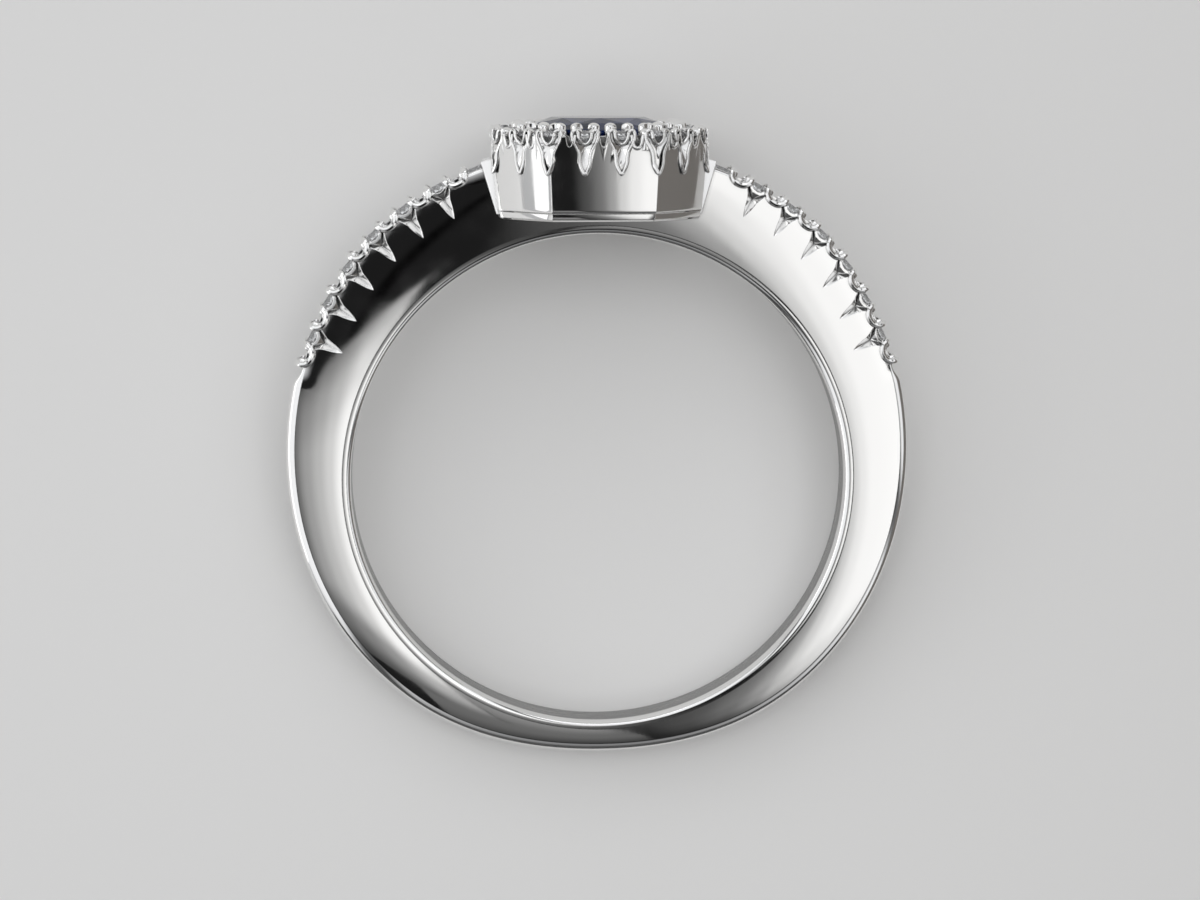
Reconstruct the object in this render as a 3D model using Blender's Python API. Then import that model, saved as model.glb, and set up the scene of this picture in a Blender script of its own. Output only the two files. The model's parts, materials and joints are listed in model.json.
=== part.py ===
"""A sapphire and diamond halo ring, lying on its side as it would rest on a table.

The ring is modelled in its own frame: X to the right, Y towards the head, Z along the finger. An empty
then tips it onto the surface it lies on, so that the head's edge and the lower band touch z = 0.
"""
import math

import bmesh
import bpy
from mathutils import Matrix, Vector

MM = 0.001

# Band
FINGER_RADIUS = 8.45 * MM
BAND_WIDTH = 1.8 * MM
SHANK_THICKNESS = 1.02 * MM
SHOULDER_THICKNESS = 3.1 * MM
INNER_ROUND = 0.26 * MM
OUTER_ROUND = 0.2 * MM
BAND_STEP = math.radians(6.0)
# How the band grows from the back of the shank to the shoulders: the angle from the head, and the share
# of the growth that it has there.
BAND_GROWTH = (
    # degrees, share
    (0, 1.0),
    (38, 1.0),
    (60, 0.8),
    (90, 0.54),
    (120, 0.36),
    (140, 0.25),
    (180, 0.0),
)

# Halo stones, sizes across the girdle. Two lie on each flat side of the head, one in the middle of each
# cut corner and one at each edge between two walls.
CLEARANCE = 0.04 * MM
HALO_STONE_WIDTH = 0.95 * MM
HALO_STONE_GAP = 0.065 * MM
HALO_FRONT_GAP = 0.25 * MM
HALO_WALL = 0.075 * MM
HALO_PITCH = HALO_STONE_WIDTH + HALO_STONE_GAP
HALO_STONE_OFFSET = (HALO_STONE_WIDTH + HALO_FRONT_GAP) / 2
HALO_STONE_INSET = HALO_STONE_WIDTH / 2 + HALO_WALL

# Head, a cup whose plan is a square with cut corners, as wide as its stones need
WALL_TURN = math.radians(45)
HEAD_FLAT_HALF = HALO_STONE_OFFSET + HALO_PITCH + HALO_STONE_INSET * math.tan(WALL_TURN / 2)
HEAD_HALF_WIDTH = HALO_STONE_OFFSET + HALO_PITCH * (1 + 2 * math.sin(WALL_TURN)) + HALO_STONE_INSET
HEAD_FOOT_SHARE = 0.94
HEAD_LIFT = 0.8 * MM
HEAD_HEIGHT = 2.55 * MM
HEAD_FOOT_HEIGHT = FINGER_RADIUS + HEAD_LIFT
DECK_HEIGHT = HEAD_FOOT_HEIGHT + HEAD_HEIGHT
PLATE_THICKNESS = 0.23 * MM
PLATE_INSET = 0.05 * MM
CHEEK_REACH = 0.36 * MM
CHEEK_EXTRA_WIDTH = 0.12 * MM
CHEEK_DROP = 0.75 * MM
CHEEK_HEIGHT = DECK_HEIGHT - CHEEK_DROP

# Sapphire, inside the ring of halo stones
SAPPHIRE_GAP = 0.225 * MM
SAPPHIRE_RISE = 0.13 * MM
SAPPHIRE_BEZEL_WIDTH = 0.775 * MM
SAPPHIRE_CROWN = 0.36 * MM
SAPPHIRE_GIRDLE = 0.1 * MM
SAPPHIRE_PAVILION = 1.75 * MM
CUSHION_POWER = 2.8
SAPPHIRE_WIDTH = 2 * (HEAD_HALF_WIDTH - HALO_WALL - HALO_STONE_WIDTH - SAPPHIRE_GAP)
SAPPHIRE_TABLE_WIDTH = SAPPHIRE_WIDTH - 2 * SAPPHIRE_BEZEL_WIDTH
SAPPHIRE_GIRDLE_HEIGHT = DECK_HEIGHT + SAPPHIRE_RISE

# Shoulder stones: the last of each row lies beside the head's wall
SHOULDER_STONE_WIDTH = 1.24 * MM
SHOULDER_STONE_GAP = 0.14 * MM
SHOULDER_HEAD_GAP = 0.03 * MM
SHOULDER_STONES = 7
SHOULDER_TOP_RADIUS = FINGER_RADIUS + SHOULDER_THICKNESS
SHOULDER_PITCH = (SHOULDER_STONE_WIDTH + SHOULDER_STONE_GAP) / SHOULDER_TOP_RADIUS
SHOULDER_LAST_ANGLE = math.asin(
    (HEAD_HALF_WIDTH + SHOULDER_HEAD_GAP + SHOULDER_STONE_WIDTH / 2) / SHOULDER_TOP_RADIUS
)
SHOULDER_FIRST_ANGLE = SHOULDER_LAST_ANGLE + (SHOULDER_STONES - 1) * SHOULDER_PITCH

# A diamond's proportions, as shares of its width. Its table lies a little under its prong tips.
DIAMOND_TABLE_SHARE = 0.56
DIAMOND_CROWN_SHARE = 0.15
DIAMOND_GIRDLE_SHARE = 0.03
DIAMOND_PAVILION_SHARE = 0.42
# How far the star facets reach down the crown, and how far out the lower facets meet, as shares
STAR_REACH = 0.45
LOWER_FACET_REACH = 0.3

# Prongs: between each two stones a pair on the outer wall, so each stone has its own
PRONG_RISE = 0.25 * MM
PRONG_ROOT = 0.3 * MM
PRONG_SETBACK = 0.02 * MM
PRONG_TIP_SHARE = 0.75
HALO_PRONG_RADIUS = 0.158 * HALO_STONE_WIDTH
INNER_PRONG_RADIUS = 0.21 * HALO_STONE_WIDTH
INNER_PRONG_SHARE = 0.8
SHOULDER_PRONG_RADIUS = 0.145 * SHOULDER_STONE_WIDTH
SPLIT_WIDTH = 0.08 * MM
CLAW_RADIUS = 0.22 * MM
CLAW_BITE = 0.155 * MM
CLAW_RISE = 0.3 * MM

# Fishtail cuts: an open V under each stone, with a pointed tail below it
CHANNEL_DEPTH = 0.2 * MM
CHANNEL_END_REACH = 1.57 * MM
CHANNEL_END_ANGLE = SHOULDER_FIRST_ANGLE + CHANNEL_END_REACH / SHOULDER_TOP_RADIUS
HALO_CUT_HALF_WIDTH = 0.295 * HALO_STONE_WIDTH
SHOULDER_CUT_HALF_WIDTH = 0.34 * SHOULDER_STONE_WIDTH
CUT_MOUTH_SHARE = 0.55
CUT_POINT_DEPTH = 0.62 * MM
CUT_INWARD = 0.5 * MM
HALO_TAIL_DEPTH = 1.32 * MM
SHOULDER_TAIL_HEIGHT = 1.4 * MM
TAIL_HALF_WIDTH = 0.15 * MM
HALO_ARM_LENGTH = 0.49 * HALO_PITCH
SHOULDER_ARM_LENGTH = 0.36 * (SHOULDER_STONE_WIDTH + SHOULDER_STONE_GAP)
TAIL_INWARD = 0.45 * MM

PRONG_SIDES = 6
CLAW_SIDES = 8
DIAMOND_SEAT_SIDES = 8
SAPPHIRE_SEAT_SIDES = 16
CUT_OVERRUN = 0.3 * MM
SEAT_MOUTH_HEIGHT = 1.0 * MM
FLAT_WITHIN = math.radians(0.2)
SHARP_FROM = math.radians(25)
SAME_PLACE = 1e-7


def clear_scene():
    for obj in list(bpy.data.objects):
        bpy.data.objects.remove(obj, do_unlink=True)


def new_collection(name):
    collection = bpy.data.collections.new(name)
    bpy.context.scene.collection.children.link(collection)
    return collection


def new_material(name, colour, roughness, metallic, transmission=0.0, ior=1.5):
    material = bpy.data.materials.new(name)
    material.use_nodes = True
    shader = material.node_tree.nodes["Principled BSDF"]
    shader.inputs["Base Color"].default_value = (*colour, 1.0)
    shader.inputs["Roughness"].default_value = roughness
    shader.inputs["Metallic"].default_value = metallic
    shader.inputs["Transmission Weight"].default_value = transmission
    shader.inputs["IOR"].default_value = ior
    material.diffuse_color = (*colour, 1.0)
    return material


def object_from_bmesh(name, mesh_data, collection, material=None):
    bmesh.ops.recalc_face_normals(mesh_data, faces=mesh_data.faces)
    if mesh_data.calc_volume(signed=True) < 0:
        bmesh.ops.reverse_faces(mesh_data, faces=mesh_data.faces)
    mesh = bpy.data.meshes.new(name)
    mesh_data.to_mesh(mesh)
    mesh_data.free()
    if material:
        mesh.materials.append(material)
    obj = bpy.data.objects.new(name, mesh)
    collection.objects.link(obj)
    return obj


def polar(radius, angle, z=0.0):
    """A point of the ring's frame, by its distance from the finger's axis and its angle from the head."""
    return Vector((radius * math.sin(angle), radius * math.cos(angle), z))


def growth_share(angle):
    """The band's growth at an angle from the head, on a smooth curve through BAND_GROWTH."""
    degrees = abs(math.degrees(angle))
    last = len(BAND_GROWTH) - 1
    slopes = []
    for row in range(last + 1):
        before, after = BAND_GROWTH[max(row - 1, 0)], BAND_GROWTH[min(row + 1, last)]
        slopes.append(0.0 if row in (0, 1, last) else (after[1] - before[1]) / (after[0] - before[0]))
    for row in range(last):
        start, end = BAND_GROWTH[row], BAND_GROWTH[row + 1]
        if degrees <= end[0]:
            break
    span = end[0] - start[0]
    t = (degrees - start[0]) / span
    return (
        start[1] * (2 * t**3 - 3 * t**2 + 1)
        + end[1] * (3 * t**2 - 2 * t**3)
        + span * slopes[row] * (t**3 - 2 * t**2 + t)
        + span * slopes[row + 1] * (t**3 - t**2)
    )


def band_radius(angle):
    """The band's outer radius, at the height of its plain edge and of the prong tips."""
    grown = (SHOULDER_THICKNESS - SHANK_THICKNESS) * growth_share(angle)
    return FINGER_RADIUS + SHANK_THICKNESS + grown


def band_section(angle, lowered):
    """The corners of one cross-section of the band, from its inner face outwards and round."""
    outer = band_radius(angle) - lowered
    half = BAND_WIDTH / 2
    corner = 1 - math.sqrt(0.5)
    side = (
        (FINGER_RADIUS, half - INNER_ROUND),
        (FINGER_RADIUS + corner * INNER_ROUND, half - corner * INNER_ROUND),
        (FINGER_RADIUS + INNER_ROUND, half),
        (outer - OUTER_ROUND, half),
        (outer - corner * OUTER_ROUND, half - corner * OUTER_ROUND),
        (outer, half - OUTER_ROUND),
    )
    mirrored = [(radius, -z) for radius, z in reversed(side)]
    return [polar(radius, angle, z) for radius, z in (*side, *mirrored)]


def loft(mesh_data, sections, closed):
    """Quads between neighbouring sections, with capped ends unless the loft closes on itself."""
    rings = [[mesh_data.verts.new(point) for point in section] for section in sections]
    count = len(rings[0])
    pairs = list(zip(rings, rings[1:])) + ([(rings[-1], rings[0])] if closed else [])
    for first, second in pairs:
        for corner in range(count):
            after = (corner + 1) % count
            mesh_data.faces.new((first[corner], first[after], second[after], second[corner]))
    if not closed:
        mesh_data.faces.new(reversed(rings[0]))
        mesh_data.faces.new(rings[-1])
    return rings


def make_band(collection, material):
    """The whole band as one closed loft, lowered between the ends of the two rows of stones."""
    steps = round(math.tau / BAND_STEP)
    ends = (-CHANNEL_END_ANGLE, CHANNEL_END_ANGLE)
    angles = [-math.pi + math.tau * step / steps for step in range(steps)]
    angles = [angle for angle in angles if min(abs(angle - end) for end in ends) > BAND_STEP / 3]
    cuts = [(angle, CHANNEL_DEPTH if abs(angle) < CHANNEL_END_ANGLE else 0.0) for angle in angles]
    lip = CHANNEL_DEPTH / band_radius(CHANNEL_END_ANGLE)
    for side in (-1, 1):
        cuts.append((side * (CHANNEL_END_ANGLE - lip / 2), CHANNEL_DEPTH))
        cuts.append((side * (CHANNEL_END_ANGLE + lip / 2), 0.0))
    cuts.sort()
    mesh_data = bmesh.new()
    loft(mesh_data, [band_section(angle, lowered) for angle, lowered in cuts], closed=True)
    bmesh.ops.triangulate(mesh_data, faces=[face for face in mesh_data.faces if len(face.verts) == 4])
    return object_from_bmesh("ring_mount", mesh_data, collection, material)


def cut_corner_block(mesh_data, half_width, flat_half, low, high, foot_share):
    """A block round the Y axis, square in plan with its corners cut, drawn in towards its foot."""
    made = bmesh.ops.create_cube(mesh_data, size=1.0)["verts"]
    bmesh.ops.scale(mesh_data, vec=(2 * half_width, high - low, 2 * half_width), verts=made)
    bmesh.ops.translate(mesh_data, vec=(0, (high + low) / 2, 0), verts=made)
    upright = [
        edge
        for edge in {edge for vert in made for edge in vert.link_edges}
        if abs(edge.verts[0].co.y - edge.verts[1].co.y) > (high - low) / 2
    ]
    bmesh.ops.bevel(
        mesh_data, geom=upright, offset=half_width - flat_half, segments=1, affect="EDGES", profile=0.5
    )
    for vert in mesh_data.verts:
        if vert.co.y < (high + low) / 2:
            vert.co.x *= foot_share
            vert.co.z *= foot_share


def make_head(collection):
    mesh_data = bmesh.new()
    cut_corner_block(
        mesh_data, HEAD_HALF_WIDTH, HEAD_FLAT_HALF, HEAD_FOOT_HEIGHT, DECK_HEIGHT, HEAD_FOOT_SHARE
    )
    object_from_bmesh("head_cup", mesh_data, collection)


def make_plate(collection):
    """The thin plate under the cup."""
    mesh_data = bmesh.new()
    cut_corner_block(
        mesh_data,
        HEAD_HALF_WIDTH * HEAD_FOOT_SHARE - PLATE_INSET,
        HEAD_FLAT_HALF * HEAD_FOOT_SHARE - PLATE_INSET / 2,
        HEAD_FOOT_HEIGHT - PLATE_THICKNESS,
        HEAD_FOOT_HEIGHT + PLATE_THICKNESS,
        1.0,
    )
    object_from_bmesh("head_plate", mesh_data, collection)


def make_cheeks(collection):
    """The narrow wedge between each shoulder and the head's wall, wide at the top."""
    foot = HEAD_HALF_WIDTH * HEAD_FOOT_SHARE
    low = HEAD_FOOT_HEIGHT - PLATE_THICKNESS / 2
    outline = (
        (HEAD_HALF_WIDTH - CHEEK_REACH, CHEEK_HEIGHT),
        (HEAD_HALF_WIDTH + CHEEK_REACH, CHEEK_HEIGHT - CHEEK_REACH / 2),
        (foot + PLATE_INSET, low),
        (foot - CHEEK_REACH, low),
    )
    half = BAND_WIDTH / 2 + CHEEK_EXTRA_WIDTH
    for name, side in (("cheek_left", -1), ("cheek_right", 1)):
        mesh_data = bmesh.new()
        ends = [[Vector((side * x, y, z)) for x, y in outline] for z in (-half, half)]
        loft(mesh_data, ends, closed=False)
        object_from_bmesh(name, mesh_data, collection)


def facing(origin, inward, up):
    """A matrix for a cut or a prong: its Z goes into the wall, its Y goes up the wall."""
    inward = inward.normalized()
    up = (up - up.project(inward)).normalized()
    across = up.cross(inward)
    frame = Matrix((across, up, inward)).transposed().to_4x4()
    frame.translation = origin
    return frame


def halo_facets():
    """The head's eight walls: each one's outward direction and its distance from the middle."""
    corner = (HEAD_HALF_WIDTH + HEAD_FLAT_HALF) * math.sqrt(0.5)
    for wall in range(8):
        angle = WALL_TURN * wall
        outward = Vector((math.sin(angle), 0, math.cos(angle)))
        yield outward, (corner if wall % 2 else HEAD_HALF_WIDTH)


def halo_corner(first, second):
    """The edge where two walls meet: its outward direction and its place."""
    (out_a, far_a), (out_b, far_b) = first, second
    middle = (out_a + out_b).normalized()
    lean = out_a.angle(out_b)
    along_a = (far_b - far_a * math.cos(lean)) / math.sin(lean)
    across = (out_b - out_a * out_a.dot(out_b)).normalized()
    point = out_a * far_a + across * along_a
    return middle, point


def halo_places():
    """Each halo stone's place on the wall and the outward direction there, round the head."""
    facets = list(halo_facets())
    places = []
    for number, facet in enumerate(facets):
        outward, far = facet
        across = Vector((0, 1, 0)).cross(outward)
        if number % 2 == 0:
            places.append((outward * far - across * HALO_STONE_OFFSET, outward))
            places.append((outward * far + across * HALO_STONE_OFFSET, outward))
        else:
            places.append((outward * far, outward))
        middle, point = halo_corner(facet, facets[(number + 1) % len(facets)])
        places.append((point, middle))
    return places


def halo_stone_centre(point, outward):
    """The stone's place in from the wall. At a corner the inset is measured from both walls."""
    turn = min(outward.angle(facet) for facet, _ in halo_facets())
    return point - outward * (HALO_STONE_INSET / math.cos(turn))


def halo_gaps():
    """Half way between each two halo stones: the place on the nearest wall, and its outward direction."""
    centres = [halo_stone_centre(*place) for place in halo_places()]
    gaps = []
    for number, centre in enumerate(centres):
        middle = (centre + centres[(number + 1) % len(centres)]) / 2
        outward, far = max(halo_facets(), key=lambda wall: middle.dot(wall[0]) - wall[1])
        gaps.append((middle + outward * (far - middle.dot(outward)), outward))
    return gaps


def shoulder_angles():
    for side in (-1, 1):
        for number in range(SHOULDER_STONES):
            yield side, number, side * (SHOULDER_FIRST_ANGLE - number * SHOULDER_PITCH)


def shoulder_gap_angles():
    """The angles half way between the stones, and one beyond the last stone of each row."""
    for side in (-1, 1):
        for number in range(SHOULDER_STONES):
            yield side * (SHOULDER_FIRST_ANGLE + (0.5 - number) * SHOULDER_PITCH)


def brilliant_points(table, crown, girdle, pavilion, outline):
    """The corners of a brilliant cut of girdle radius 1. outline stretches each direction in plan."""
    eighth = math.tau / 8
    half = math.cos(eighth / 2)
    star = (table + STAR_REACH * (1 - table)) / half
    star_height = girdle / 2 + crown * (1 - (star * half - table) / (1 - table))
    lower_height = -girdle / 2 - pavilion * (1 - LOWER_FACET_REACH * half)
    points = [(0.0, 0.0, -girdle / 2 - pavilion)]
    for step in range(8):
        on, between = step * eighth, (step + 0.5) * eighth
        points.append((on, table, girdle / 2 + crown))
        points.append((between, star, star_height))
        points.append((between, LOWER_FACET_REACH, lower_height))
    for step in range(16):
        for height in (girdle / 2, -girdle / 2):
            points.append((step * eighth / 2, 1.0, height))
    return [
        Vector((radius * outline(angle) * math.sin(angle), height, radius * outline(angle) * math.cos(angle)))
        for angle, radius, height in points
    ]


def round_outline(angle):
    return 1.0


def cushion_outline(angle):
    power = CUSHION_POWER
    return (abs(math.sin(angle)) ** power + abs(math.cos(angle)) ** power) ** (-1 / power)


def cut_stone_mesh(name, width, table, crown, girdle, pavilion, outline, material):
    """A cut stone with its girdle in the plane Y = 0 and its table towards +Y."""
    mesh_data = bmesh.new()
    half = width / 2
    for point in brilliant_points(table, crown / half, girdle / half, pavilion / half, outline):
        mesh_data.verts.new(point * half)
    hull = bmesh.ops.convex_hull(mesh_data, input=mesh_data.verts)
    loose = [item for item in hull["geom_interior"] if isinstance(item, bmesh.types.BMVert)]
    bmesh.ops.delete(mesh_data, geom=loose, context="VERTS")
    bmesh.ops.recalc_face_normals(mesh_data, faces=mesh_data.faces)
    mesh = bpy.data.meshes.new(name)
    mesh_data.to_mesh(mesh)
    mesh_data.free()
    mesh.materials.append(material)
    return mesh


def seat_rings(sides, width, table, crown, girdle, pavilion, outline):
    """A stone's envelope with the clearance round it, open upwards over the table, as rings from the top."""
    half = width / 2
    levels = (
        (table * half + CLEARANCE, girdle / 2 + crown + SEAT_MOUTH_HEIGHT),
        (table * half + CLEARANCE, girdle / 2 + crown + CLEARANCE),
        (half + CLEARANCE, girdle / 2 + CLEARANCE),
        (half + CLEARANCE, -girdle / 2 - CLEARANCE),
        (CLEARANCE, -girdle / 2 - pavilion - CLEARANCE),
    )
    rings = []
    for radius, height in levels:
        ring = []
        for step in range(sides):
            angle = (step + 0.5) * math.tau / sides
            reach = radius * outline(angle) / math.cos(math.pi / sides)
            ring.append(Vector((reach * math.sin(angle), height, reach * math.cos(angle))))
        rings.append(ring)
    return rings


def standing(origin, up):
    """A matrix whose Y axis is up, for a stone or a prong."""
    across = up.cross(Vector((0, 0, 1)))
    if across.length < SAME_PLACE:
        across = Vector((1, 0, 0))
    across.normalize()
    frame = Matrix((across, up, across.cross(up))).transposed().to_4x4()
    frame.translation = origin
    return frame


def diamond_sizes(width):
    return {
        "width": width,
        "table": DIAMOND_TABLE_SHARE,
        "crown": width * DIAMOND_CROWN_SHARE,
        "girdle": width * DIAMOND_GIRDLE_SHARE,
        "pavilion": width * DIAMOND_PAVILION_SHARE,
        "outline": round_outline,
    }


def sapphire_sizes():
    return {
        "width": SAPPHIRE_WIDTH,
        "table": SAPPHIRE_TABLE_WIDTH / SAPPHIRE_WIDTH,
        "crown": SAPPHIRE_CROWN,
        "girdle": SAPPHIRE_GIRDLE,
        "pavilion": SAPPHIRE_PAVILION,
        "outline": cushion_outline,
    }


def table_rise(sizes):
    return sizes["girdle"] / 2 + sizes["crown"]


def stone_placements():
    """Each stone's name, kind and frame. A diamond's table lies a little under its prong tips."""
    placed = [("sapphire", "sapphire", standing(Vector((0, SAPPHIRE_GIRDLE_HEIGHT, 0)), Vector((0, 1, 0))))]
    halo = diamond_sizes(HALO_STONE_WIDTH)
    height = DECK_HEIGHT + PRONG_RISE - HALO_PRONG_RADIUS / 2 - table_rise(halo)
    for number, (point, outward) in enumerate(halo_places(), start=1):
        centre = halo_stone_centre(point, outward)
        centre.y = height
        placed.append((f"halo_diamond_{number:02d}", "halo", standing(centre, Vector((0, 1, 0)))))
    shoulder = diamond_sizes(SHOULDER_STONE_WIDTH)
    for side, number, angle in shoulder_angles():
        radius = band_radius(angle) - SHOULDER_PRONG_RADIUS / 2 - table_rise(shoulder)
        name = f"shoulder_diamond_{'left' if side < 0 else 'right'}_{number + 1}"
        placed.append((name, "shoulder", standing(polar(radius, angle), polar(1, angle))))
    return placed


def fishtail_frames():
    """Each cut's frame on its wall at the prong tips' height, its half width, tail depth and arm length."""
    up = Vector((0, 1, 0))
    frames = []
    for point, outward in halo_places():
        top = point + up * (DECK_HEIGHT + PRONG_RISE)
        frame = facing(top, -outward, up)
        frames.append((frame, HALO_CUT_HALF_WIDTH, HALO_TAIL_DEPTH + PRONG_RISE, HALO_ARM_LENGTH))
    for side, number, angle in shoulder_angles():
        if number == SHOULDER_STONES - 1:
            continue
        for face in (-1, 1):
            top = polar(band_radius(angle), angle, face * BAND_WIDTH / 2)
            frame = facing(top, Vector((0, 0, -face)), polar(1, angle))
            tail_depth = band_radius(angle) - FINGER_RADIUS - SHOULDER_TAIL_HEIGHT
            frames.append((frame, SHOULDER_CUT_HALF_WIDTH, tail_depth, SHOULDER_ARM_LENGTH))
    return frames


def add_opening(mesh_data, frame, half_width):
    """The opening under a stone, a V that narrows again between the prong tips, run into the wall."""
    waist = -CUT_POINT_DEPTH / 2
    mouth = half_width * CUT_MOUTH_SHARE
    outline = (
        (0, -CUT_POINT_DEPTH),
        (half_width, waist),
        (mouth, 0),
        (mouth, PRONG_RISE),
        (-mouth, PRONG_RISE),
        (-mouth, 0),
        (-half_width, waist),
    )
    sections = [
        [frame @ Vector((x, y, z)) for x, y in outline] for z in (-CUT_OVERRUN, CUT_INWARD)
    ]
    loft(mesh_data, sections, closed=False)


def add_tail(mesh_data, frame, tail_depth, arm_length):
    """The pointed cut below the V: a three-armed star outside the wall, drawn in to a point inside it."""
    tips = ((math.pi, tail_depth - CUT_POINT_DEPTH), (math.pi / 3, arm_length), (-math.pi / 3, arm_length))
    made = bmesh.ops.create_cone(
        mesh_data, cap_ends=True, segments=6, radius1=1.0, radius2=0.0, depth=1.0
    )["verts"]
    apex = max(made, key=lambda vert: vert.co.z)
    rim = [vert for vert in made if vert is not apex]
    rim.sort(key=lambda vert: math.atan2(vert.co.x, vert.co.y))
    centre = Vector((0, -CUT_POINT_DEPTH, 0))
    widen = 1 + CUT_OVERRUN / TAIL_INWARD
    corners = []
    for angle, reach in tips:
        corners.append((angle, reach))
        corners.append((angle + math.pi / 3, TAIL_HALF_WIDTH))
    corners.sort(key=lambda corner: (corner[0] + math.pi) % math.tau)
    for vert, (angle, reach) in zip(rim, corners):
        flat = Vector((math.sin(angle), math.cos(angle), 0)) * reach * widen
        vert.co = frame @ (centre + flat + Vector((0, 0, -CUT_OVERRUN)))
    apex.co = frame @ (centre + Vector((0, 0, TAIL_INWARD)))


def add_prong(mesh_data, foot, up, height, radius, sides):
    """A tapered pin from its foot to its tip."""
    turn = standing(foot, up) @ Matrix.Rotation(-math.pi / 2, 4, "X")
    bmesh.ops.create_cone(
        mesh_data,
        cap_ends=True,
        segments=sides,
        radius1=radius,
        radius2=radius * PRONG_TIP_SHARE,
        depth=height,
        matrix=turn @ Matrix.Translation((0, 0, height / 2)),
    )


def gap_frames():
    """Each pair of outer prongs: its frame on the wall at the tips' height, its prongs' radius and rise."""
    up = Vector((0, 1, 0))
    frames = []
    for point, outward in halo_gaps():
        top = point + up * (DECK_HEIGHT + PRONG_RISE)
        frames.append((facing(top, -outward, up), HALO_PRONG_RADIUS, PRONG_RISE))
    for angle in shoulder_gap_angles():
        for face in (-1, 1):
            top = polar(band_radius(angle), angle, face * BAND_WIDTH / 2)
            frame = facing(top, Vector((0, 0, -face)), polar(1, angle))
            frames.append((frame, SHOULDER_PRONG_RADIUS, CHANNEL_DEPTH))
    return frames


def make_openings(collection):
    for number, (frame, half_width, _, _) in enumerate(fishtail_frames()):
        mesh_data = bmesh.new()
        add_opening(mesh_data, frame, half_width)
        object_from_bmesh(f"opening_{number}", mesh_data, collection)


def make_tails(collection):
    for number, (frame, _, tail_depth, arm_length) in enumerate(fishtail_frames()):
        mesh_data = bmesh.new()
        add_tail(mesh_data, frame, tail_depth, arm_length)
        object_from_bmesh(f"tail_{number}", mesh_data, collection)


def make_prongs(collection):
    """The outer prongs in pairs, the inner prongs of the halo, and the four claws of the sapphire."""
    outer = bmesh.new()
    for frame, radius, rise in gap_frames():
        up = (frame.to_3x3() @ Vector((0, 1, 0))).normalized()
        height = rise + PRONG_ROOT
        for side in (-1, 1):
            foot = frame @ Vector((side * (radius + SPLIT_WIDTH / 2), -height, radius + PRONG_SETBACK))
            add_prong(outer, foot, up, height, radius, PRONG_SIDES)
    object_from_bmesh("outer_prongs", outer, collection)
    inner = bmesh.new()
    up = Vector((0, 1, 0))
    places = halo_places()
    height = PRONG_RISE * INNER_PRONG_SHARE + PRONG_ROOT
    for number, place in enumerate(places):
        first = halo_stone_centre(*place)
        second = halo_stone_centre(*places[(number + 1) % len(places)])
        middle = (first + second) / 2
        foot = middle - middle.normalized() * (HALO_STONE_WIDTH / 2 - INNER_PRONG_RADIUS)
        foot.y = DECK_HEIGHT - PRONG_ROOT
        add_prong(inner, foot, up, height, INNER_PRONG_RADIUS, PRONG_SIDES)
    object_from_bmesh("inner_prongs", inner, collection)
    claws = bmesh.new()
    height = SAPPHIRE_RISE + CLAW_RISE + PRONG_ROOT
    for corner in range(4):
        angle = math.radians(45 + 90 * corner)
        reach = SAPPHIRE_WIDTH / 2 * cushion_outline(angle) + CLAW_RADIUS - CLAW_BITE
        foot = Vector((reach * math.sin(angle), DECK_HEIGHT - PRONG_ROOT, reach * math.cos(angle)))
        add_prong(claws, foot, up, height, CLAW_RADIUS, CLAW_SIDES)
    object_from_bmesh("claws", claws, collection)


def make_seats(collection):
    kinds = {
        "sapphire": sapphire_sizes(),
        "halo": diamond_sizes(HALO_STONE_WIDTH),
        "shoulder": diamond_sizes(SHOULDER_STONE_WIDTH),
    }
    for name, kind, frame in stone_placements():
        mesh_data = bmesh.new()
        sides = SAPPHIRE_SEAT_SIDES if kind == "sapphire" else DIAMOND_SEAT_SIDES
        rings = [[frame @ point for point in ring] for ring in seat_rings(sides, **kinds[kind])]
        loft(mesh_data, rings, closed=False)
        object_from_bmesh(f"seat_{name}", mesh_data, collection)


def make_stones(collection, diamond, sapphire):
    halo = diamond_sizes(HALO_STONE_WIDTH)
    shoulder = diamond_sizes(SHOULDER_STONE_WIDTH)
    meshes = {
        "sapphire": cut_stone_mesh("sapphire", material=sapphire, **sapphire_sizes()),
        "halo": cut_stone_mesh("halo_diamond", material=diamond, **halo),
        "shoulder": cut_stone_mesh("shoulder_diamond", material=diamond, **shoulder),
    }
    stones = []
    for name, kind, frame in stone_placements():
        stone = bpy.data.objects.new(name, meshes[kind])
        stone.matrix_world = frame
        collection.objects.link(stone)
        stones.append(stone)
    return stones


def add_boolean(obj, name, operation, collection):
    modifier = obj.modifiers.new(name, "BOOLEAN")
    modifier.operation = operation
    modifier.operand_type = "COLLECTION"
    modifier.collection = collection
    modifier.solver = "EXACT"


def bake(obj):
    """The object's modifiers made part of its mesh, as the rest pose is worked out from the final form."""
    graph = bpy.context.evaluated_depsgraph_get()
    mesh = bpy.data.meshes.new_from_object(obj.evaluated_get(graph))
    obj.modifiers.clear()
    mesh_data = bmesh.new()
    mesh_data.from_mesh(mesh)
    bmesh.ops.dissolve_limit(
        mesh_data, angle_limit=FLAT_WITHIN, verts=mesh_data.verts, edges=mesh_data.edges
    )
    mesh_data.to_mesh(mesh)
    mesh_data.free()
    obj.data = mesh
    mesh.shade_smooth()
    mesh.set_sharp_from_angle(angle=SHARP_FROM)


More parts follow.
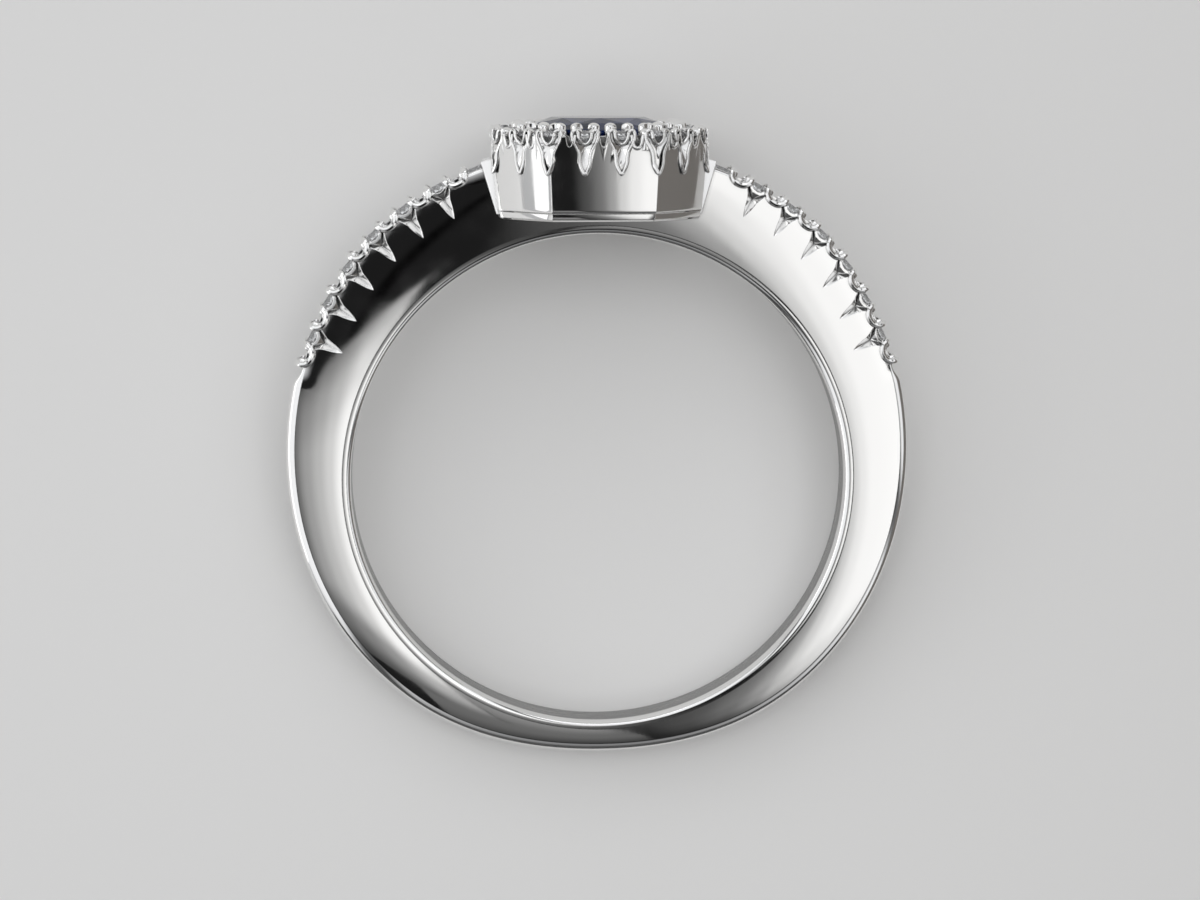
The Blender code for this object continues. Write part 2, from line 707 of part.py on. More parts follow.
def rest_tilt(points, middle):
    """How far to tip the ring about X so that it lies on the two edges that carry it.

    Seen along X, the carrying edges are the corners of the lower outline either side of the middle.
    """
    outline = []
    for y, z in sorted({(round(p.y, 7), round(p.z, 7)) for p in points}):
        while len(outline) > 1:
            (ay, az), (by, bz) = outline[-2:]
            if (by - ay) * (z - az) - (bz - az) * (y - ay) > 0:
                break
            outline.pop()
        outline.append((y, z))
    for (ay, az), (by, bz) in zip(outline, outline[1:]):
        if ay <= middle <= by:
            return -math.atan2(bz - az, by - ay)
    return 0.0


def lay_down(objects, empty):
    """Tips and lowers the empty that carries the ring, and centres the ring over the origin."""
    points = [obj.matrix_world @ vert.co for obj in objects for vert in obj.data.vertices]
    middle = 0.5 * (max(p.y for p in points) + min(p.y for p in points))
    turn = Matrix.Rotation(rest_tilt(points, middle), 4, "X")
    turned = [turn @ p for p in points]
    spans = [(min(p[axis] for p in turned), max(p[axis] for p in turned)) for axis in range(3)]
    shift = Vector((-sum(spans[0]) / 2, -sum(spans[1]) / 2, -spans[2][0]))
    for obj in objects:
        obj.parent = empty
    empty.matrix_world = Matrix.Translation(shift) @ turn


def main():
    clear_scene()
    ring = new_collection("sapphire_ring")
    white_gold = new_material("white_gold", (0.86, 0.855, 0.85), 0.12, 1.0)
    diamond = new_material("diamond", (0.97, 0.98, 1.0), 0.0, 0.0, transmission=1.0, ior=2.42)
    sapphire = new_material("sapphire", (0.02, 0.06, 0.3), 0.0, 0.0, transmission=1.0, ior=1.77)

    mount = make_band(ring, white_gold)
    stages = (
        ("head", "UNION", (make_head, make_plate, make_cheeks)),
        ("prongs", "UNION", (make_prongs,)),
        ("openings", "DIFFERENCE", (make_openings,)),
        ("tails", "DIFFERENCE", (make_tails,)),
        ("seats", "DIFFERENCE", (make_seats,)),
    )
    for name, operation, makers in stages:
        helpers = new_collection(name)
        for make in makers:
            make(helpers)
        for helper in helpers.objects:
            helper.hide_render = True
            helper.display_type = "WIRE"
        add_boolean(mount, name, operation, helpers)
    bpy.context.view_layer.update()
    bake(mount)

    stones = make_stones(ring, diamond, sapphire)
    bpy.context.view_layer.update()
    empty = bpy.data.objects.new("ring_frame", None)
    ring.objects.link(empty)
    lay_down([mount, *stones], empty)


main()
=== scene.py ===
"""The looks of the sapphire ring: finer metal, clear stones, a pale floor and a soft studio."""
import json
import math

import bmesh
import bpy
from mathutils import Matrix, Vector

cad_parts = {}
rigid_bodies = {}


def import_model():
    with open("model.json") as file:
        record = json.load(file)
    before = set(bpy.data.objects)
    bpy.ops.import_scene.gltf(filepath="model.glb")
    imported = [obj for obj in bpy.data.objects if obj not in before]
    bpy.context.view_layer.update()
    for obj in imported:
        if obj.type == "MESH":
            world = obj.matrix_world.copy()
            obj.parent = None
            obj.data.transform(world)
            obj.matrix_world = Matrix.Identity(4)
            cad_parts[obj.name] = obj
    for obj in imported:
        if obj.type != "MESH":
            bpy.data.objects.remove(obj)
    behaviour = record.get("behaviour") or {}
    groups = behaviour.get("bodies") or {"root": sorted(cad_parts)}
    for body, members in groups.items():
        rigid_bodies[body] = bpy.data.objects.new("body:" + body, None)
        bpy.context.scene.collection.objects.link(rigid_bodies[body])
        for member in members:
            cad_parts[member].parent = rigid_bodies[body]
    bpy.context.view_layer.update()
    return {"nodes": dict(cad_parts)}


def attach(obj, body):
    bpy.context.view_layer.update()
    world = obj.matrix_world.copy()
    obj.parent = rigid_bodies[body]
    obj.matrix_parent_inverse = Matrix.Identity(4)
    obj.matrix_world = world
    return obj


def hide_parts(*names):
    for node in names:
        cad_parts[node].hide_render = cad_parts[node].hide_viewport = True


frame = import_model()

MM = 0.001
FULL_TURN = 2 * math.pi
QUARTER_TURN = math.pi / 2

# Band: its main sizes
FINGER_RADIUS = 8.45 * MM
BAND_WIDTH = 1.8 * MM
SHANK_THICKNESS = 1.02 * MM
SHOULDER_THICKNESS = 3.1 * MM

# Band: the rounding of its edges at the head, at the back and under the shoulder stones, and the bevels
EDGE_ROUND = 0.3 * MM
EDGE_ROUND_BACK = 0.2 * MM
PAVE_EDGE_ROUND = 0.1 * MM
BACK_POWER = 3
INNER_BEVEL_WIDTH = 0.075 * MM
INNER_BEVEL_ANGLE = math.radians(6)
INNER_ROUND_FLATNESS = 0.5
RIM_BEVEL_SHARE = 0.35
RIM_BEVEL_ANGLE = math.radians(12)
CREASE_LOOP = 0.008 * MM

# Band: how far its side faces fall away towards the rim, and more so under the stones
FACE_FALL = 0.1
PAVE_FALL = 0.02 * MM
PAVE_FALL_REACH = 0.6 * MM

# Band: its steps along a section and round the finger
SIDE_STEPS = 14
ROUND_STEPS = 6
BAND_STEPS = 200
RAMP_STEPS = 8
RAMP_MARGIN = 1.1
BAND_GROWTH = (
    # degrees from the head, share of the growth
    (0, 1.0),
    (38, 1.0),
    (60, 0.8),
    (90, 0.54),
    (120, 0.36),
    (140, 0.25),
    (180, 0.0),
)

# Halo stones and the head that they need
CLEARANCE = 0.04 * MM
HALO_STONE_WIDTH = 0.95 * MM
HALO_STONE_GAP = 0.065 * MM
HALO_FRONT_GAP = 0.25 * MM
HALO_WALL = 0.075 * MM
HALO_PITCH = HALO_STONE_WIDTH + HALO_STONE_GAP
HALO_STONE_OFFSET = (HALO_STONE_WIDTH + HALO_FRONT_GAP) / 2
HALO_STONE_INSET = HALO_STONE_WIDTH / 2 + HALO_WALL
WALL_TURN = math.radians(45)
HEAD_FLAT_HALF = HALO_STONE_OFFSET + HALO_PITCH + HALO_STONE_INSET * math.tan(WALL_TURN / 2)
HEAD_HALF_WIDTH = HALO_STONE_OFFSET + HALO_PITCH * (1 + 2 * math.sin(WALL_TURN)) + HALO_STONE_INSET
HEAD_FOOT_SHARE = 0.94
HEAD_LIFT = 0.8 * MM
HEAD_HEIGHT = 2.55 * MM
HEAD_FOOT_HEIGHT = FINGER_RADIUS + HEAD_LIFT
DECK_HEIGHT = HEAD_FOOT_HEIGHT + HEAD_HEIGHT
HEAD_CORNER_ROUND = 0.07 * MM
HEAD_FOOT_ROUND = 0.1 * MM
WALL_BULGE = math.radians(4.0)
WALL_SHAPES = {
    # number of the wall, counted from the front one: how far its middle is turned, share of the bulge
    0: (math.radians(2.2), 1.0),
    1: (math.radians(-2.2), 0.5),
}
WALL_STEPS = 16
WALL_LEVELS = (0.0, 0.35, 0.65)
WALL_LAST_LEVEL = 0.98
FOOT_ROUND_STEPS = 4

# Base plate, and the cheeks between the head and the shoulders
PLATE_THICKNESS = 0.23 * MM
PLATE_INSET = 0.05 * MM
PLATE_PROFILE = (
    # height above the cup's foot in plate thicknesses, inset in plate insets
    (1.0, 1.0),
    (-0.35, 1.0),
    (-0.75, 1.4),
    (-1.0, 2.6),
)
CHEEK_REACH = 0.36 * MM
CHEEK_EXTRA_WIDTH = 0.12 * MM
CHEEK_LEAN = 0.34
CHEEK_DROP = 0.75 * MM
CHEEK_HEIGHT = DECK_HEIGHT - CHEEK_DROP

# Sapphire
SAPPHIRE_GAP = 0.225 * MM
SAPPHIRE_RISE = 0.13 * MM
SAPPHIRE_BEZEL_WIDTH = 0.775 * MM
SAPPHIRE_CROWN = 0.36 * MM
SAPPHIRE_GIRDLE = 0.1 * MM
SAPPHIRE_PAVILION = 1.75 * MM
CUSHION_POWER = 2.8
SAPPHIRE_WIDTH = 2 * (HEAD_HALF_WIDTH - HALO_WALL - HALO_STONE_WIDTH - SAPPHIRE_GAP)
SAPPHIRE_TABLE_WIDTH = SAPPHIRE_WIDTH - 2 * SAPPHIRE_BEZEL_WIDTH
SAPPHIRE_GIRDLE_HEIGHT = DECK_HEIGHT + SAPPHIRE_RISE

# Shoulder stones
SHOULDER_STONE_WIDTH = 1.24 * MM
SHOULDER_STONE_GAP = 0.14 * MM
SHOULDER_HEAD_GAP = 0.03 * MM
SHOULDER_STONES = 7
SHOULDER_TOP_RADIUS = FINGER_RADIUS + SHOULDER_THICKNESS
SHOULDER_PITCH = (SHOULDER_STONE_WIDTH + SHOULDER_STONE_GAP) / SHOULDER_TOP_RADIUS
SHOULDER_LAST_ANGLE = math.asin(
    (HEAD_HALF_WIDTH + SHOULDER_HEAD_GAP + SHOULDER_STONE_WIDTH / 2) / SHOULDER_TOP_RADIUS
)
SHOULDER_FIRST_ANGLE = SHOULDER_LAST_ANGLE + (SHOULDER_STONES - 1) * SHOULDER_PITCH
DIAMOND_TABLE_SHARE = 0.56
DIAMOND_CROWN_SHARE = 0.15
DIAMOND_GIRDLE_SHARE = 0.03
DIAMOND_PAVILION_SHARE = 0.42

# Seats, open upwards over the stone's table
SEAT_OPENING = 1 * MM
SAPPHIRE_SEAT_SIDES = 32
DIAMOND_SEAT_SIDES = 20

# Beads: between each two stones a pair on the outer wall with a U-shaped split between them
BEAD_RISE = 0.25 * MM
BEAD_ROOT = 0.45 * MM
BEAD_SIDES = 16
BEAD_DOME_RINGS = 4
BEAD_DOME_HEIGHT_SHARE = 0.75
HALO_BEAD_RADIUS = 0.2 * MM
HALO_BEAD_SPREAD = 0.285 * MM
BEAD_INSET_SHARE = 1.05
HALO_TABLE_DROP = 0.079 * HALO_STONE_WIDTH
SHOULDER_BEAD_RADIUS = 0.165 * MM
SHOULDER_BEAD_SPREAD = 0.27 * MM
SHOULDER_TABLE_DROP = 0.0725 * SHOULDER_STONE_WIDTH
INNER_BEAD_RADIUS = 0.21 * MM
INNER_BEAD_EXTRA = 0.17 * MM
INNER_BEAD_INSET_SHARE = 0.6
INNER_SPREAD_SHARE = 0.95
CLAW_RADIUS = 0.22 * MM
CLAW_BITE = 0.155 * MM
CLAW_RISE = 0.3 * MM

# Fishtail cuts. Each outline is its right half from the top down, in millimetres: across, and up from the
# origin of the cut's frame.
CHANNEL_DEPTH = 0.2 * MM
CHANNEL_END_REACH = 1.57 * MM
CHANNEL_END_RAMP = 0.6 * MM
CHANNEL_END_ANGLE = SHOULDER_FIRST_ANGLE + CHANNEL_END_REACH / SHOULDER_TOP_RADIUS
CUT_OVERRUN = 0.3 * MM
WINDOW_INWARD = 0.5 * MM
SPLIT_INWARD = 0.42 * MM
HALO_CUT_DEPTH = 0.18 * MM
HALO_CUT_CENTRE = 0.55 * MM
HALO_CUT = ((0.44, 0.3), (0.445, -0.2), (0.42, -0.38), (0.33, -0.54), (0.24, -0.74), (0.205, -0.93),
            (0.2, -1.06), (0.15, -1.22), (0.085, -1.38), (0.0, -1.51))
HALO_WINDOW = ((0.09, 0.3), (0.1, -0.15), (0.14, -0.32), (0.1, -0.42), (0.0, -0.5))
HALO_SPLIT = ((0.0, -0.12), (0.1, -0.16), (0.115, -0.25), (0.09, -0.42), (0.07, -0.5), (0.04, -0.56),
              (0.0, -0.58))
SHOULDER_CUT_DEPTH = 0.2 * MM
SHOULDER_CUT_CENTRE = 0.64 * MM
SHOULDER_CUT = ((0.0, -0.43), (0.15, -0.42), (0.3, -0.3), (0.37, -0.17), (0.415, -0.21), (0.36, -0.38),
                (0.25, -0.56), (0.185, -0.7), (0.16, -0.82), (0.13, -0.97), (0.08, -1.17), (0.0, -1.38))
SHOULDER_WINDOW = ((0.23, 0.3), (0.23, -0.2), (0.15, -0.31), (0.0, -0.35))
SHOULDER_SPLIT = ((0.17, 0.3), (0.17, -0.1), (0.13, -0.22), (0.08, -0.28), (0.0, -0.3))
FRAME_REACH = 0.3 * MM

# Ribbons: the rounded wire edges of the cuts and the gaps. Each point of the right half is across, up from
# the beads' tops or the band's top, and inward, in millimetres.
RIBBON_SIDES = 8
RIBBON_STEPS = 4
HALO_RIBBON_RADIUS = 0.06 * MM
HALO_RIBBON = ((0.0, -1.47, 0.03), (0.08, -1.35, 0.03), (0.145, -1.2, 0.035), (0.18, -1.05, 0.035),
               (0.185, -0.93, 0.035), (0.22, -0.75, 0.035), (0.3, -0.58, 0.035), (0.385, -0.43, 0.035),
               (0.425, -0.28, 0.035), (0.42, -0.16, 0.04), (0.385, -0.09, 0.045), (0.325, -0.065, 0.05),
               (0.265, -0.09, 0.05), (0.225, -0.16, 0.045), (0.205, -0.28, 0.045), (0.13, -0.43, 0.08),
               (0.0, -0.51, 0.12))
HALO_U = ((0.19, -0.2, 0.04), (0.165, -0.36, 0.03), (0.125, -0.52, 0.03), (0.07, -0.605, 0.03),
          (0.0, -0.635, 0.03))
SHOULDER_RIBBON_DROP = 0.4 * MM
SHOULDER_RIBBON_RADIUS = 0.1 * MM
SHOULDER_RIBBON = ((0.29, 0.03, 0.25), (0.33, -0.01, 0.12), (0.36, -0.08, 0.03), (0.35, -0.18, 0.0),
                   (0.3, -0.275, 0.0), (0.21, -0.35, 0.0), (0.11, -0.39, 0.0), (0.0, -0.4, 0.0))

# Metal. Edges sharper than this angle are shaded as edges.
SHARP_ANGLE = math.radians(24)
WHITE_GOLD_TONE = (0.9, 0.895, 0.885, 1)
WHITE_GOLD_ROUGHNESS = (0.03, 0.075)
METAL_EDGE = 0.035 * MM
SCRATCH_DEPTH = 0.001 * MM
SCRATCH_STRENGTH = 0.12
SCRATCH_SCALE = (4000, 900, 9000)
CLOUD_RANGE = (0.3, 0.7)
METAL_CLOUD_SCALE = 700.0

# Brushed metal in the finger hole, in a belt beside the band's middle. Its streaks and roughness are the
# finish; its much darker tone is painted shade.
BRUSHED_PAINTED_SHADE_TONE = (0.26, 0.258, 0.255, 1)
BRUSHED_ROUGHNESS = (0.16, 0.42)
BRUSHED_AND_SHADED_HALF = 0.55 * MM
BRUSHED_AND_SHADED_SHIFT = 0.25 * MM
BRUSHED_AND_SHADED_FADE = 0.05 * MM
BRUSHED_AND_SHADED_DEPTH = (0.004 * MM, 0.016 * MM)
BRUSHED_SCALE = (250, 250, 22000)

# Painted shade: the gold's colour darkened in crevices and creases
PAINTED_SHADE_TONE = (0.06, 0.06, 0.06, 1)
PAINTED_SHADE_REACH = 0.16 * MM
PAINTED_SHADE_RANGE = (0.3, 0.85)

# Stones: colour, refraction and the share of the light that passes through
DIAMOND_GLASS = ((0.98, 0.99, 1.0), 2.42, 0.9)
SAPPHIRE_GLASS = ((0.006, 0.025, 0.13), 1.77, 0.9)
STONE_ROUGHNESS = (0.0, 0.02)
STONE_CLOUD_SCALE = 1500.0
STONE_EDGE = 0.02 * MM

# Floor and cards
FLOOR_TONE = (0.74, 0.735, 0.725, 1)
FLOOR_ROUGHNESS = (0.5, 0.6)
FLOOR_GRAIN_SCALE = 3000.0
FLOOR_REACH = 1.2
CARD_ROUGHNESS = (0.7, 0.9)
CARD_GRAIN_SCALE = 400.0

# Camera
CAMERA_DISTANCE = 95 * MM
CAMERA_RAISE = math.radians(9)
CAMERA_YAW = math.radians(-3)
CAMERA_LENS = 82.8
CAMERA_SENSOR = 36.0
CAMERA_SHIFT = (0.0019, 0.0235)
CAMERA_CLIP = (0.005, 10)

# Light. The ramps give the brightness over a soft box, as rows of share and level.
DARK_TOP = (0.12, -0.33, 1.0)
SEAM_TURN = math.radians(60)
SKY_TONE = (0.97, 0.98, 1.0, 1)
STUDIO_MIDDLE = (0, 0, 0.004)
LIGHT_HEIGHT = 0.25
MAIN_ACROSS = ((0.0, 0.0), (0.094, 0.06), (0.18, 0.15), (0.26, 0.33), (0.315, 0.6), (0.394, 0.8),
               (0.49, 0.92), (1.0, 1.0))
MAIN_ALONG = ((0.0, 0.3), (0.125, 0.8), (0.2, 1.0), (1.0, 1.0))
STRIP_ACROSS = ((0.0, 0.0), (0.3, 0.35), (0.5, 0.5), (0.68, 0.66), (0.86, 1.0), (0.96, 1.0), (1.0, 0.0))
STRIP_ALONG = ((0.0, 0.15), (0.2, 0.45), (0.35, 1.0), (0.72, 1.0), (0.85, 0.75), (0.95, 0.45), (1.0, 0.0))
FRONT_ALONG = ((0.0, 0.12), (0.5, 0.5), (1.0, 1.0))


def polar(radius, angle, z=0.0):
    """A point of the ring's frame, by its distance from the finger's axis and its angle from the head."""
    return Vector((radius * math.sin(angle), radius * math.cos(angle), z))


def node_points(node):
    """The distinct corners of a CAD node's mesh."""
    return {tuple(round(c, 7) for c in vert.co) for vert in frame["nodes"][node].data.vertices}


def node_middle(node):
    points = node_points(node)
    return sum((Vector(point) for point in points), Vector()) / len(points)


def find_ring_frame():
    """The ring's own frame: X to the right, Y towards the head, Z along the finger, from its stones."""
    left = node_middle("shoulder_diamond_left_1")
    right = node_middle("shoulder_diamond_right_1")
    upper = node_middle("shoulder_diamond_left_7")
    across = (right - left).normalized()
    axis = across.cross(upper - left).normalized()
    up = axis.cross(across)
    culet = min((Vector(point) for point in node_points("sapphire")), key=lambda point: point.dot(up))
    culet_height = SAPPHIRE_GIRDLE_HEIGHT - SAPPHIRE_GIRDLE / 2 - SAPPHIRE_PAVILION
    matrix = Matrix((across, up, axis)).transposed().to_4x4()
    matrix.translation = culet - up * culet_height
    return matrix


RING = find_ring_frame()


def add_form(name, collection, build, *values):
    """An object whose mesh the build function makes from the values, with its faces turned outwards."""
    mesh_data = bmesh.new()
    build(mesh_data, *values)
    bmesh.ops.recalc_face_normals(mesh_data, faces=mesh_data.faces)
    if mesh_data.calc_volume(signed=True) < 0:
        bmesh.ops.reverse_faces(mesh_data, faces=mesh_data.faces)
    mesh = bpy.data.meshes.new(name)
    mesh_data.to_mesh(mesh)
    mesh_data.free()
    obj = bpy.data.objects.new(name, mesh)
    collection.objects.link(obj)
    return obj


def loft(mesh_data, sections, closed=False, tip=None):
    """Quads between neighbouring sections. Unless the loft closes on itself its ends are capped, the last
    one with a fan to the tip where there is one."""
    rings = [[mesh_data.verts.new(point) for point in section] for section in sections]
    count = len(rings[0])
    pairs = list(zip(rings, rings[1:])) + ([(rings[-1], rings[0])] if closed else [])
    for first, second in pairs:
        for corner in range(count):
            after = (corner + 1) % count
            mesh_data.faces.new((first[corner], first[after], second[after], second[corner]))
    if closed:
        return
    mesh_data.faces.new(reversed(rings[0]))
    if tip is None:
        mesh_data.faces.new(rings[-1])
        return
    top = mesh_data.verts.new(tip)
    for corner in range(count):
        mesh_data.faces.new((rings[-1][corner], rings[-1][(corner + 1) % count], top))


def growth_share(angle):
    """The band's growth at an angle from the head, on a smooth curve through BAND_GROWTH. The curve is
    level at its first two rows and at its last one."""
    degrees = abs(math.degrees(angle))
    last = len(BAND_GROWTH) - 1
    slopes = []
    for row in range(last + 1):
        before, after = BAND_GROWTH[max(row - 1, 0)], BAND_GROWTH[min(row + 1, last)]
        slopes.append(0.0 if row in (0, 1, last) else (after[1] - before[1]) / (after[0] - before[0]))
    for row in range(last):
        start, end = BAND_GROWTH[row], BAND_GROWTH[row + 1]
        if degrees <= end[0]:
            break
    span = end[0] - start[0]
    t = (degrees - start[0]) / span
    return (
        start[1] * (2 * t**3 - 3 * t**2 + 1)
        + end[1] * (3 * t**2 - 2 * t**3)
        + span * slopes[row] * (t**3 - 2 * t**2 + t)
        + span * slopes[row + 1] * (t**3 - t**2)
    )


def band_radius(angle):
    grown = (SHOULDER_THICKNESS - SHANK_THICKNESS) * growth_share(angle)
    return FINGER_RADIUS + SHANK_THICKNESS + grown


def pave_share(angle):
    """1 where the band is lowered for the shoulder stones and 0 where it is plain, with a ramp between."""
    ramp = 0.5 + (CHANNEL_END_ANGLE - abs(angle)) * SHOULDER_TOP_RADIUS / CHANNEL_END_RAMP
    ramp = min(max(ramp, 0.0), 1.0)
    return ramp * ramp * (3 - 2 * ramp)


def face_limits(angle):
    """The side face's inner and outer radius, and how wide the rounding beyond its outer one is."""
    pave = pave_share(angle)
    back = ((1 - math.cos(angle)) / 2) ** BACK_POWER
    inner_round = EDGE_ROUND + (EDGE_ROUND_BACK - EDGE_ROUND) * back
    outer_round = EDGE_ROUND + (PAVE_EDGE_ROUND - EDGE_ROUND) * pave
    outer = band_radius(angle) - CHANNEL_DEPTH * pave
    return FINGER_RADIUS + inner_round, outer - outer_round, outer_round


def face_height(angle, radius):
    """The side face's distance from the band's middle. It falls away outwards, more so under the stones."""
    low, high, _ = face_limits(angle)
    share = min(max((radius - low) / (high - low), 0.0), 1.0)
    edge = min(max((radius - high) / PAVE_FALL_REACH + 1, 0.0), 1.0)
    fall = FACE_FALL * (high - low) / 2 * share**2
    return BAND_WIDTH / 2 - fall - PAVE_FALL * pave_share(angle) * edge**2


def band_section(angle):
    """One cross-section: a rounded inner edge with a bevel, the side face, and a bevelled round rim."""
    low, high, outer_round = face_limits(angle)
    half = BAND_WIDTH / 2
    side = []
    start = low - INNER_BEVEL_WIDTH
    drop = INNER_BEVEL_WIDTH * math.tan(INNER_BEVEL_ANGLE)
    first = math.atan(math.tan(INNER_BEVEL_ANGLE) / INNER_ROUND_FLATNESS)
    radius = (start - FINGER_RADIUS) / (1 - math.sin(first))
    for step in range(ROUND_STEPS + 1):
        turn = QUARTER_TURN + (first - QUARTER_TURN) * step / ROUND_STEPS
        side.append((FINGER_RADIUS + radius * (1 - math.sin(turn)),
                     half - drop - radius * INNER_ROUND_FLATNESS * (math.cos(first) - math.cos(turn))))
    side.append((low - CREASE_LOOP, half - CREASE_LOOP * math.tan(INNER_BEVEL_ANGLE)))
    face = [low, low + CREASE_LOOP]
    face += [low + (high - low) * step / SIDE_STEPS for step in range(1, SIDE_STEPS)]
    face += [high - CREASE_LOOP, high]
    side += [(reach, face_height(angle, reach)) for reach in face]
    bevel = outer_round * RIM_BEVEL_SHARE
    edge = face_height(angle, high)
    side.append((high + CREASE_LOOP, edge - CREASE_LOOP * math.tan(RIM_BEVEL_ANGLE)))
    edge -= bevel * math.tan(RIM_BEVEL_ANGLE)
    radius = (outer_round - bevel) / (1 - math.sin(RIM_BEVEL_ANGLE))
    for step in range(ROUND_STEPS + 1):
        turn = RIM_BEVEL_ANGLE + (QUARTER_TURN - RIM_BEVEL_ANGLE) * step / ROUND_STEPS
        side.append((high + bevel + radius * (math.sin(turn) - math.sin(RIM_BEVEL_ANGLE)),
                     edge - radius * (math.cos(RIM_BEVEL_ANGLE) - math.cos(turn))))
    mirrored = [(radius, -z) for radius, z in reversed(side)]
    return [polar(radius, angle, z) for radius, z in (*side, *mirrored)]


def make_band(collection):
    """The band as one closed loft, with extra sections along the ramps where the stones end."""
    angles = [-math.pi + FULL_TURN * step / BAND_STEPS for step in range(BAND_STEPS)]
    reach = CHANNEL_END_RAMP / 2 / SHOULDER_TOP_RADIUS
    angles = [angle for angle in angles if abs(abs(angle) - CHANNEL_END_ANGLE) > reach * RAMP_MARGIN]
    for side in (-1, 1):
        for step in range(RAMP_STEPS + 1):
            angles.append(side * (CHANNEL_END_ANGLE + reach * (2 * step / RAMP_STEPS - 1)))
    angles.sort()
    return add_form("ring_metal", collection, loft, [band_section(angle) for angle in angles], True)


def walls():
    """The head's eight walls: each one's outward direction, its distance from the middle and half width."""
    corner = (HEAD_HALF_WIDTH + HEAD_FLAT_HALF) * math.sqrt(0.5)
    corner_half = (HEAD_HALF_WIDTH - HEAD_FLAT_HALF) * math.sqrt(0.5)
    for wall in range(8):
        angle = WALL_TURN * wall
        outward = Vector((math.sin(angle), 0, math.cos(angle)))
        if wall % 2:
            yield outward, corner, corner_half
        else:
            yield outward, HEAD_HALF_WIDTH, HEAD_FLAT_HALF


def head_outline(inset):
    """The cup's outline in plan: eight slightly bulging walls with narrow rounded corners."""
    points = []
    for number, (outward, far, half) in enumerate(walls()):
        across = Vector((0, 1, 0)).cross(outward)
        turn, bulge_share = WALL_SHAPES.get(number, (0.0, 1.0))
        flat = half - HEAD_CORNER_ROUND
        widest = WALL_BULGE * bulge_share
        radius = flat / math.sin(widest)
        for step in range(WALL_STEPS + 1):
            lean = widest * (2 * step / WALL_STEPS - 1)
            bulge = radius * (math.cos(lean) - math.cos(widest))
            aside = radius * math.sin(lean)
            points.append(outward * (far - inset + bulge - aside * math.tan(turn)) + across * aside)
    return points


def make_head(collection):
    """The cup, from its deck down to its rounded foot."""
    height = DECK_HEIGHT - HEAD_FOOT_HEIGHT
    round_share = HEAD_FOOT_ROUND / height
    levels = [(share, 0.0) for share in (*WALL_LEVELS, WALL_LAST_LEVEL - round_share)]
    for step in range(FOOT_ROUND_STEPS + 1):
        turn = QUARTER_TURN * step / FOOT_ROUND_STEPS
        levels.append((1 - round_share * (1 - math.sin(turn)), HEAD_FOOT_ROUND * (1 - math.cos(turn))))
    sections = []
    for share, inset in levels:
        scale = 1 - (1 - HEAD_FOOT_SHARE) * share
        lift = Vector((0, DECK_HEIGHT - height * share, 0))
        sections.append([point * scale + lift for point in head_outline(inset)])
    add_form("head_cup", collection, loft, sections)


def make_plate(collection):
    """The thin plate under the cup, with its edge rounded."""
    sections = []
    for rise, inset in PLATE_PROFILE:
        lift = Vector((0, HEAD_FOOT_HEIGHT + PLATE_THICKNESS * rise, 0))
        sections.append([point * HEAD_FOOT_SHARE + lift for point in head_outline(PLATE_INSET * inset)])
    add_form("head_plate", collection, loft, sections)


def make_cheeks(collection):
    """The narrow wedge between each shoulder and the head's wall, wide at the top."""
    foot = HEAD_HALF_WIDTH * HEAD_FOOT_SHARE
    low = HEAD_FOOT_HEIGHT - PLATE_THICKNESS / 2
    outline = (
        (HEAD_HALF_WIDTH - CHEEK_REACH, CHEEK_HEIGHT),
        (HEAD_HALF_WIDTH + CHEEK_REACH, CHEEK_HEIGHT - CHEEK_REACH / 2),
        (foot + PLATE_INSET, low),
        (foot - CHEEK_REACH, low),
    )
    half = BAND_WIDTH / 2 + CHEEK_EXTRA_WIDTH
    for name, side in (("cheek_left", -1), ("cheek_right", 1)):
        ends = []
        for face in (-1, 1):
            end = []
            for x, y in outline:
                beyond = max(x - foot, 0.0)
                end.append(Vector((side * x, y, face * (half - CHEEK_LEAN * beyond))))
            ends.append(end)
        add_form(name, collection, loft, ends)


def facing(origin, inward, up):
    """A matrix for a cut or a bead: its Z goes into the wall, its Y goes up the wall."""
    inward = inward.normalized()
    up = (up - up.project(inward)).normalized()
    matrix = Matrix((up.cross(inward), up, inward)).transposed().to_4x4()
    matrix.translation = origin
    return matrix


def wall_corner(first, second):
    """The edge where two walls meet: its place and its outward direction."""
    (out_a, far_a, _), (out_b, far_b, _) = first, second
    lean = out_a.angle(out_b)
    along_a = (far_b - far_a * math.cos(lean)) / math.sin(lean)
    across = (out_b - out_a * out_a.dot(out_b)).normalized()
    return out_a * far_a + across * along_a, (out_a + out_b).normalized()


def halo_places():
    """Each halo stone's place on the wall and the outward direction there, round the head."""
    facets = list(walls())
    places = []
    for number, facet in enumerate(facets):
        outward, far, _ = facet
        across = Vector((0, 1, 0)).cross(outward)
        if number % 2 == 0:
            places.append((outward * far - across * HALO_STONE_OFFSET, outward))
            places.append((outward * far + across * HALO_STONE_OFFSET, outward))
        else:
            places.append((outward * far, outward))
        places.append(wall_corner(facet, facets[(number + 1) % len(facets)]))
    return places


def halo_stone_centre(point, outward):
    """The stone's place in from the wall. At a corner the inset is measured from both walls."""
    turn = min(outward.angle(facet) for facet, _, _ in walls())
    return point - outward * (HALO_STONE_INSET / math.cos(turn))


def halo_gaps():
    """Half way between each two halo stones: the place on the nearest wall, and its outward direction."""
    centres = [halo_stone_centre(*place) for place in halo_places()]
    gaps = []
    for number, centre in enumerate(centres):
        middle = (centre + centres[(number + 1) % len(centres)]) / 2
        outward, far, _ = max(walls(), key=lambda wall: middle.dot(wall[0]) - wall[1])
        gaps.append((middle + outward * (far - middle.dot(outward)), outward))
    return gaps


def shoulder_angles():
    """Each shoulder stone's number, counted up towards the head, and its angle from the head."""
    for side in (-1, 1):
        for number in range(SHOULDER_STONES):
            yield number, side * (SHOULDER_FIRST_ANGLE - number * SHOULDER_PITCH)


